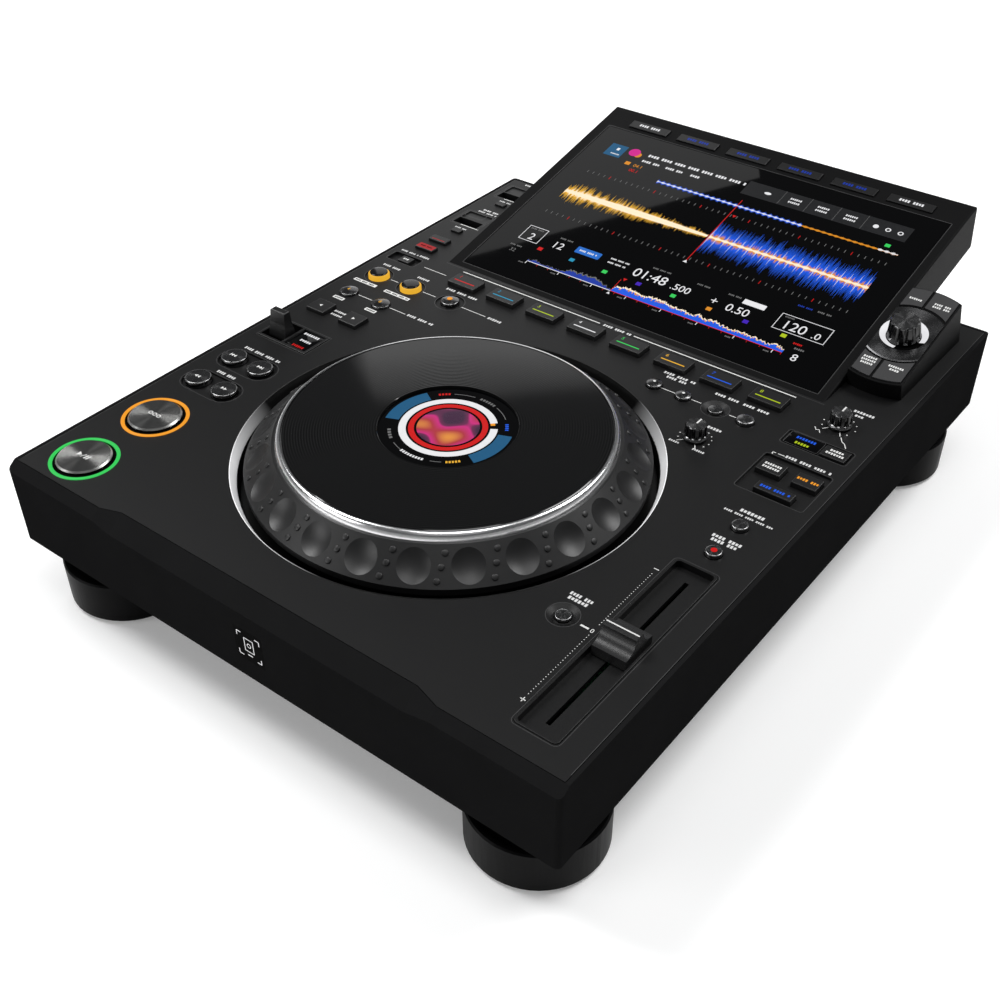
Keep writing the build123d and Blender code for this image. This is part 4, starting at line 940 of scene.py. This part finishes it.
bump = {
    "radius": 1.7, "narrowing": 0.86, "depth": 1.1, "bevel": 0.25,
    "places": ((96.4, -1.1), (91.8, 0.0), (87.2, 1.1)),  # radius, degrees ahead of the middle
    "cone": ((99.0, -0.7), (84.3, 12.5)),  # outer and inner end of the slope as radius, height
}
(outer, low), (inner, high) = bump["cone"]
cone = math.atan2(high - low, outer - inner)
bumps = bmesh.new()
for index in range(jog["dimples"]):
    for radius, skew in bump["places"]:
        angle = math.radians((index + 0.5) * 360 / jog["dimples"] + skew)
        height = low + (outer - radius) * math.tan(cone)
        place = Matrix.Translation((cx + radius * math.cos(angle), cy + radius * math.sin(angle), height))
        place = place @ Matrix.Rotation(angle, 4, "Z") @ Matrix.Rotation(cone, 4, "Y")
        wide, narrow = bump["radius"], bump["radius"] * bump["narrowing"]
        made = bmesh.ops.create_cone(
            bumps, cap_ends=True, segments=14, radius1=wide, radius2=narrow,
            depth=bump["depth"], matrix=place,
        )["verts"]
        crown = [v for v in made if (place.inverted() @ v.co).z > 0]
        rim = [e for e in {e for v in crown for e in v.link_edges} if all(v in crown for v in e.verts)]
        bmesh.ops.bevel(
            bumps, geom=rim, offset=bump["bevel"], segments=2, profile=0.5, affect="EDGES", material=-1,
        )
putSolid(bumps, "jogBumps", [jogSkin], "jog_wheel", sharp=50)
print("jog wheel dressed")

# display

screen = {
    "wave": {
        "middle": 90.3, "left": (-101.5, 0.6), "right": (1.9, 102.5), "pitch": 0.7, "gold": 1.0, "beat": 5.2,
    },
    "overview": {
        "middle": 123.0, "span": (-54.9, 103.9), "pitch": 0.5, "warm": 44, "bright": 92, "beat": 3.9,
    },
    "track": {"base": 22.6, "span": (-82.0, 86.8), "played": -22.8, "pitch": 0.6, "minute": 23.4},
    "ticks": {"rows": (67.6, 113.0), "span": (-100.4, 102.0), "pitch": 4.12},
    "squares": (  # u, v, colour
        (-81.8, 35.3, "red"), (-58.7, 35.4, "cyan"), (-35.3, 35.2, "green"), (-11.8, 35.1, "purple"),
        (11.2, 35.3, "green"), (34.6, 35.1, "orange"), (57.7, 35.2, "purple"), (81.2, 34.9, "lime"),
        (95.2, 128.2, "green"),
    ),
    "square": (1.6, 1.4, 0.3),
}
layers = (  # from the glass upwards
    "panelGrey", "softBlue", "dimBlue", "blue", "gold", "orange", "cream", "red",
    "cyan", "green", "purple", "lime", "magenta", "badgeBlue", "grey", "white",
)
draw = {color: bmesh.new() for color in layers}
rnd = random.Random(7)
wave = screen["wave"]
middle, pitch = wave["middle"], wave["pitch"]
start, end = wave["left"]
u = start
while u < end:
    along = (u - start) / (end - start)
    tall = (3.6 + 9.4 * (1 - along)) * rnd.uniform(0.35, 1.0)
    addSpike(draw["gold"], u, middle + rnd.uniform(-0.8, 0.8), wave["gold"], tall)
    addSpike(draw["cream"], u, middle, wave["gold"], tall * rnd.uniform(0.25, 0.6))
    core = math.sin(math.pi * min(1, along * 0.9 + 0.08))
    addBar(draw["cream"], u, middle, pitch * 1.1, 1.6 + 3.4 * core)
    u += pitch
start, end = wave["right"]
u = start
while u < end:
    beat = abs(((u - start) % wave["beat"]) / wave["beat"] - 0.5) * 2
    tall = rnd.uniform(7.0, 13.2) + 1.6 * beat
    addBar(draw["blue"], u, middle, pitch * 0.55, tall * 1.6)
    addSpike(draw["blue"], u, middle, pitch * 1.4, tall * 1.2)
    addSpike(draw["orange"], u, middle, pitch * 1.6, rnd.uniform(1.2, 5.4))
    addSpike(draw["cream"], u, middle, pitch * 1.8, 0.7 + 1.2 * beat)
    if beat > 0.86:
        addSpike(draw["white"], u, middle, 0.5, tall * 0.8)
    u += pitch
strip = screen["overview"]
middle, pitch = strip["middle"], strip["pitch"]
start, end = strip["span"]
u = start
while u < end:
    swing = abs(((u - start) % strip["beat"]) / strip["beat"] - 0.5) * 2
    if u < strip["warm"]:
        addSpike(draw["blue"], u, middle, pitch * 2, 0.7 + 1.7 * swing)
        addSpike(draw["white"], u, middle, pitch * 1.4, 0.3 + 1.1 * swing * swing)
    else:
        addSpike(draw["orange"], u, middle, pitch * 2, 0.5 + 0.7 * swing)
        if u > strip["bright"]:
            addSpike(draw["white"], u, middle, pitch * 1.4, 0.3 + 1.2 * swing)
    u += pitch
track = screen["track"]
base, pause = track["base"], track["played"]
start, end = track["span"]
wide = track["pitch"] * 1.02
u = start
level = 2.4
while u < end:
    played = u < pause
    aim = (4.6 if -58 < u < -30 else 0.9) if played else 6.4 - 0.032 * (u - pause)
    level = max(0.8, level + rnd.uniform(-0.9, 0.9) + 0.3 * (aim - level))
    addBar(draw["dimBlue" if played else "blue"], u, base + 0.3 + level * 0.4, wide, level * 0.8)
    addBar(draw["grey" if played else "cream"], u, base + 0.3 + level * 0.9, wide, level * 0.2)
    if not played and rnd.random() < 0.3:
        addBar(draw["orange"], u, base + 0.3 + level * 0.72, wide, level * 0.3)
    u += track["pitch"]
addBar(draw["white"], (start + pause) / 2, base, pause - start, 0.5)
addBar(draw["red"], (pause + end) / 2, base, end - pause, 0.45)
for index in range(8):
    mark = start + index * track["minute"]
    addBar(draw["white"], mark, base - 1.4, 0.45, 2.2)
    addLabel(draw["grey"], mark - 4.6, mark - 1.4, base - 2.6, 1.0)
    for part in (1, 2):
        addBar(draw["red"], min(mark + part * track["minute"] / 3, end), base - 1.0, 0.3, 1.2)
addTriangle(draw["white"], pause, base - 2.2, 1.3, 90)
addTriangle(draw["red"], pause + 2.0, base + 12.2, 1.5, -90)
addBar(draw["red"], pause, base + 5.6, 0.4, 11.2)
ticks = screen["ticks"]
start, end = ticks["span"]
for row in ticks["rows"]:
    for index in range(int((end - start) / ticks["pitch"]) + 1):
        color, tall = ("red", 2.8) if index % 8 == 4 else ("grey", 2.4)
        addBar(draw[color], start + index * ticks["pitch"], row, 0.4, tall)
addBar(draw["red"], 1.2, 97.0, 0.5, 64.0)
addTriangle(draw["white"], 1.2, 64.4, 1.6, 90)
addTriangle(draw["red"], 4.7, 113.5, 1.5, -90)
for u, v, color in screen["squares"]:
    half, tall, corner = screen["square"]
    addRounded(draw[color], u - half, u + half, v - tall, v + tall, corner)

# header and counters: tiles, cover, title, touch fields, small status marks, times and tempo
readings = {
    addBar: {  # u, v, width, height
        "panelGrey": [(49.0, 141.6, 106.0, 13.4)], "softBlue": [(-97.0, 139.6, 12.0, 12.6)],
        "white": [(-96.2, 141.2, 2.0, 2.6)],
        "grey": [(u, 141.6, 0.2, 13.0) for u in (20.9, 38.1, 56.7, 74.3)],
    },
    addDisc: {  # u, v, radius, corners, turn, stretch
        "magenta": [(-84.6, 142.6, 3.9)], "orange": [(-81.4, 141.2, 2.5)],
        "white": [(11.4, 141.4, 1.5, 24, 0, (1.5, 0.8))],
    },
    addRing: {  # u, v, inner, outer
        "white": [(81.6, 141.0, 0.0, 1.7), (89.2, 141.0, 1.0, 1.7), (96.8, 141.0, 1.0, 1.7)],
    },
    addRounded: {  # u from, u to, v from, v to, corner
        "orange": [(-84.4, -80.8, 129.6, 132.8, 0.3)], "badgeBlue": [(-62.0, -45.0, 42.2, 48.0, 0.8)],
        "white": [(48.2, 62.0, 47.6, 51.6, 0.3)],
    },
    addFrame: {  # u from, u to, v from, v to, line
        "white": [(-100.2, -86.8, 38.2, 51.5, 0.4), (72.2, 102.8, 38.0, 50.8, 0.4)],
    },
    addRows: {  # u, v, half widths, pitch, height
        "white": [(u, 141.4, (3.6, 3.6), 3.2, 1.7) for u in (29.5, 47.4, 65.5)],
    },
    addLabel: {  # u from, u to, v, height
        "white": [
            (-98.6, -92.6, 136.0, 1.2), (-74.6, -5.0, 143.6, 2.5), (-75.4, -63.0, 137.2, 2.1),
            (-58.0, -46.0, 137.2, 2.1), (-40.0, -34.0, 137.2, 2.1), (-59.6, -47.6, 45.1, 1.5),
            (-38.6, -26.0, 47.2, 1.3), (-38.6, -26.6, 43.6, 1.3),
        ],
        "grey": [
            (-98.4, -89.4, 49.6, 1.3), (-76.4, -67.6, 49.4, 1.3), (-12.0, 0.0, 51.2, 1.2),
            (18.0, 27.0, 50.6, 1.2), (38.0, 46.0, 51.0, 1.2), (74.6, 80.0, 49.0, 1.1),
            (91.0, 96.6, 28.8, 1.4), (-101.0, -92.0, 31.6, 1.2), (88.0, 96.0, 60.4, 1.3),
        ],
        "red": [(88.6, 93.6, 32.2, 1.4)], "dimBlue": [(76.0, 84.6, 60.4, 1.3)],
    },
    addDigits: {  # text, u, v, size
        "orange": [("04.1", -78.0, 129.6, 3.9)], "red": [("00.1", -78.0, 124.4, 3.9)],
        "white": [
            ("2", -95.4, 39.8, 8.4), ("12", -77.8, 39.8, 8.2), ("01:48", -20.4, 40.0, 10.2),
            (".500", 5.4, 40.0, 7.4), ("+", 31.4, 39.4, 8.4), ("0.50", 42.0, 38.4, 8.4),
            ("120", 75.8, 39.8, 9.8), (".0", 94.2, 39.8, 7.0), ("8", 92.6, 19.6, 7.6),
        ],
        "grey": [("32", -98.6, 26.0, 4.2)],
    },
}
for add, colors in readings.items():
    for color, rows in colors.items():
        for row in rows:
            add(draw[color], *row)
# painted highlight along the edge of the display glass
edge = drawn(addOutline, [(-117.0, 118.3, 3.8, 161.9, 0.6, 0.25)])
putMarks(edge, "glassEdgeHighlight", displayPlane(printLift), paintedEdgeHighlight)
for order, (color, marks) in enumerate(draw.items()):
    plane = displayPlane(printLift * (1 + 0.3 * order))
    putMarks(marks, "screen" + color[0].upper() + color[1:], plane, lit[color], "chassis")

# legends over the six screen keys and on the four browse keys
keyNames = {"width": 14.8, "v": 168.7, "height": 2.3, "rise": 1.1}
for name, color, places in (
    ("screenKeyWhite", "white", (-90.0, 90.0)), ("screenKeyBlue", "dimBlue", (-54.0, -18.0, 18.0, 54.0)),
):
    half = keyNames["width"] / 2
    names = drawn(addLabel, [(u - half, u + half, keyNames["v"], keyNames["height"]) for u in places])
    putMarks(names, name, displayPlane(keyNames["rise"] + printLift), lit[color], "screen_keys")
browseLegends = (  # u, v, half widths from back to front
    (-6.6, 27.4, (3.4,)), (8.2, 27.2, (4.4, 4.6)), (-6.6, -26.8, (3.6, 3.8, 3.2)), (8.0, -26.6, (4.0, 2.4)),
)
legends = drawn(addRows, [(*legend, 2.3, 1.5) for legend in browseLegends])
putMarks(legends, "browseLegends", browsePlane(0.8 + printLift), whiteInk, "browse_keys")
print("display drawn")

# small black plate on the front with a lit sign: brackets in its corners round a card, a ring and a bar
plate = {
    "x": -1.3, "z": 56.2, "size": 17.6, "tall": 1.06, "corner": 1.0, "margin": 2.0, "arm": 2.6, "line": 0.5,
    "card": (-2.7, 2.7, -3.0, 4.4, 0.45), "ring": (0, 0.7, 0.9, 1.3), "bar": (0, -5.2, 3.0, 0.6),
}
half = plate["size"] / 2
back = drawn(addRounded, [(-half, half, -half * plate["tall"], half * plate["tall"], plate["corner"])])
putMarks(back, "frontPlate", frontPlane(plate["x"], plate["z"], 0.01), blackAndPaintedShade)
marks = drawn(addFrame, [plate["card"]])
reach = half - plate["margin"]
inset = reach - plate["arm"] / 2
for sideX in (-1, 1):
    for sideY in (-1, 1):
        addBar(marks, sideX * inset, sideY * reach, plate["arm"], plate["line"])
        addBar(marks, sideX * reach, sideY * inset, plate["line"], plate["arm"])
addRing(marks, *plate["ring"])
addBar(marks, *plate["bar"])
putMarks(marks, "frontPlateMark", frontPlane(plate["x"], plate["z"], 0.02), lit["white"])
print("small parts placed")

# floor, light and camera

studio = {"reach": 9.0, "wall": 2.6, "floorTone": 0.88, "lift": 0.2, "world": 0.1}
floorShape = bmesh.new()
bmesh.ops.create_grid(floorShape, x_segments=1, y_segments=1, size=studio["reach"])
rim = [edge for edge in floorShape.edges if edge.is_boundary]
wall = bmesh.ops.extrude_edge_only(floorShape, edges=rim)["geom"]
upper = [v for v in wall if isinstance(v, bmesh.types.BMVert)]
bmesh.ops.translate(floorShape, verts=upper, vec=(0, 0, studio["wall"]))
floorMesh = bpy.data.meshes.new("floor")
floorShape.to_mesh(floorMesh)
floorShape.free()
floor = bpy.data.objects.new("floor", floorMesh)
link(floor)
floorSkin, tree, shader = newSkin("floorSkin", {
    "Base Color": (*[studio["floorTone"]] * 3, 1), "Roughness": 0.8,
    "Specular IOR Level": 0.1, "Emission Color": (1, 1, 1, 1),
})
path = tree.nodes.new("ShaderNodeLightPath")
seen = mathNode(tree, "MAXIMUM", path.outputs["Is Camera Ray"], path.outputs["Is Glossy Ray"])
seen = mathNode(tree, "MAXIMUM", seen, path.outputs["Is Transmission Ray"])
tree.links.new(mathNode(tree, "MULTIPLY", seen, studio["lift"]), shader.inputs["Emission Strength"])
floorMesh.materials.append(floorSkin)

world = bpy.data.worlds.new("studio")
bpy.context.scene.world = world
world.use_nodes = True
sky = world.node_tree.nodes["Background"]
sky.inputs["Color"].default_value = (0.96, 0.98, 1.0, 1)
sky.inputs["Strength"].default_value = studio["world"]

softboxes = {  # place, aim, size, power
    "backPanel": ((-0.27, 0.325, 0.225), (-0.05, 0.073, 0.225), (0.3, 0.34), 0.25),
    "keyLight": ((-1.5, -0.35, 2.1), (0, 0, 0.1), (1.1, 1.1), 42),
    "topLight": ((0.3, -0.25, 2.5), (0, 0, 0.1), (1.2, 1.2), 18),
    "sideLight": ((0.75, 1.1, 1.75), (0, 0, 0.1), (1.0, 1.0), 28),
    "frontLight": ((-1.3, -2.0, 1.0), (0, -0.1, 0.05), (1.3, 0.9), 13),
    "fillLight": ((0.85, -1.15, 1.8), (0, -0.1, 0.1), (1.4, 1.4), 1.6),
}
for name, (place, aim, size, power) in softboxes.items():
    data = bpy.data.lights.new(name, "AREA")
    data.shape = "RECTANGLE"
    data.size, data.size_y = size
    data.energy = power
    lamp = bpy.data.objects.new(name, data)
    lamp.location = place
    lamp.rotation_euler = (Vector(aim) - Vector(place)).to_track_quat("-Z", "Y").to_euler()
    lamp.visible_camera = False
    link(lamp)

view = {
    "place": (0.3325, -0.4855, 0.4542), "turn": (50.6074, 0.1632, 37.6823),
    "focal": 1299.1, "centre": (503.19, 525.74), "pixels": 1000, "sensor": 36,
}
cameraData = bpy.data.cameras.new("camera")
cameraData.sensor_width = view["sensor"]
cameraData.lens = view["focal"] / view["pixels"] * view["sensor"]
cameraData.shift_x = (view["pixels"] / 2 - view["centre"][0]) / view["pixels"]
cameraData.shift_y = (view["centre"][1] - view["pixels"] / 2) / view["pixels"]
camera = bpy.data.objects.new("camera", cameraData)
link(camera)
camera.location = view["place"]
camera.rotation_euler = [math.radians(turn) for turn in view["turn"]]
bpy.context.scene.camera = camera
bpy.context.scene.view_settings.view_transform = "Standard"

print("scene ready")
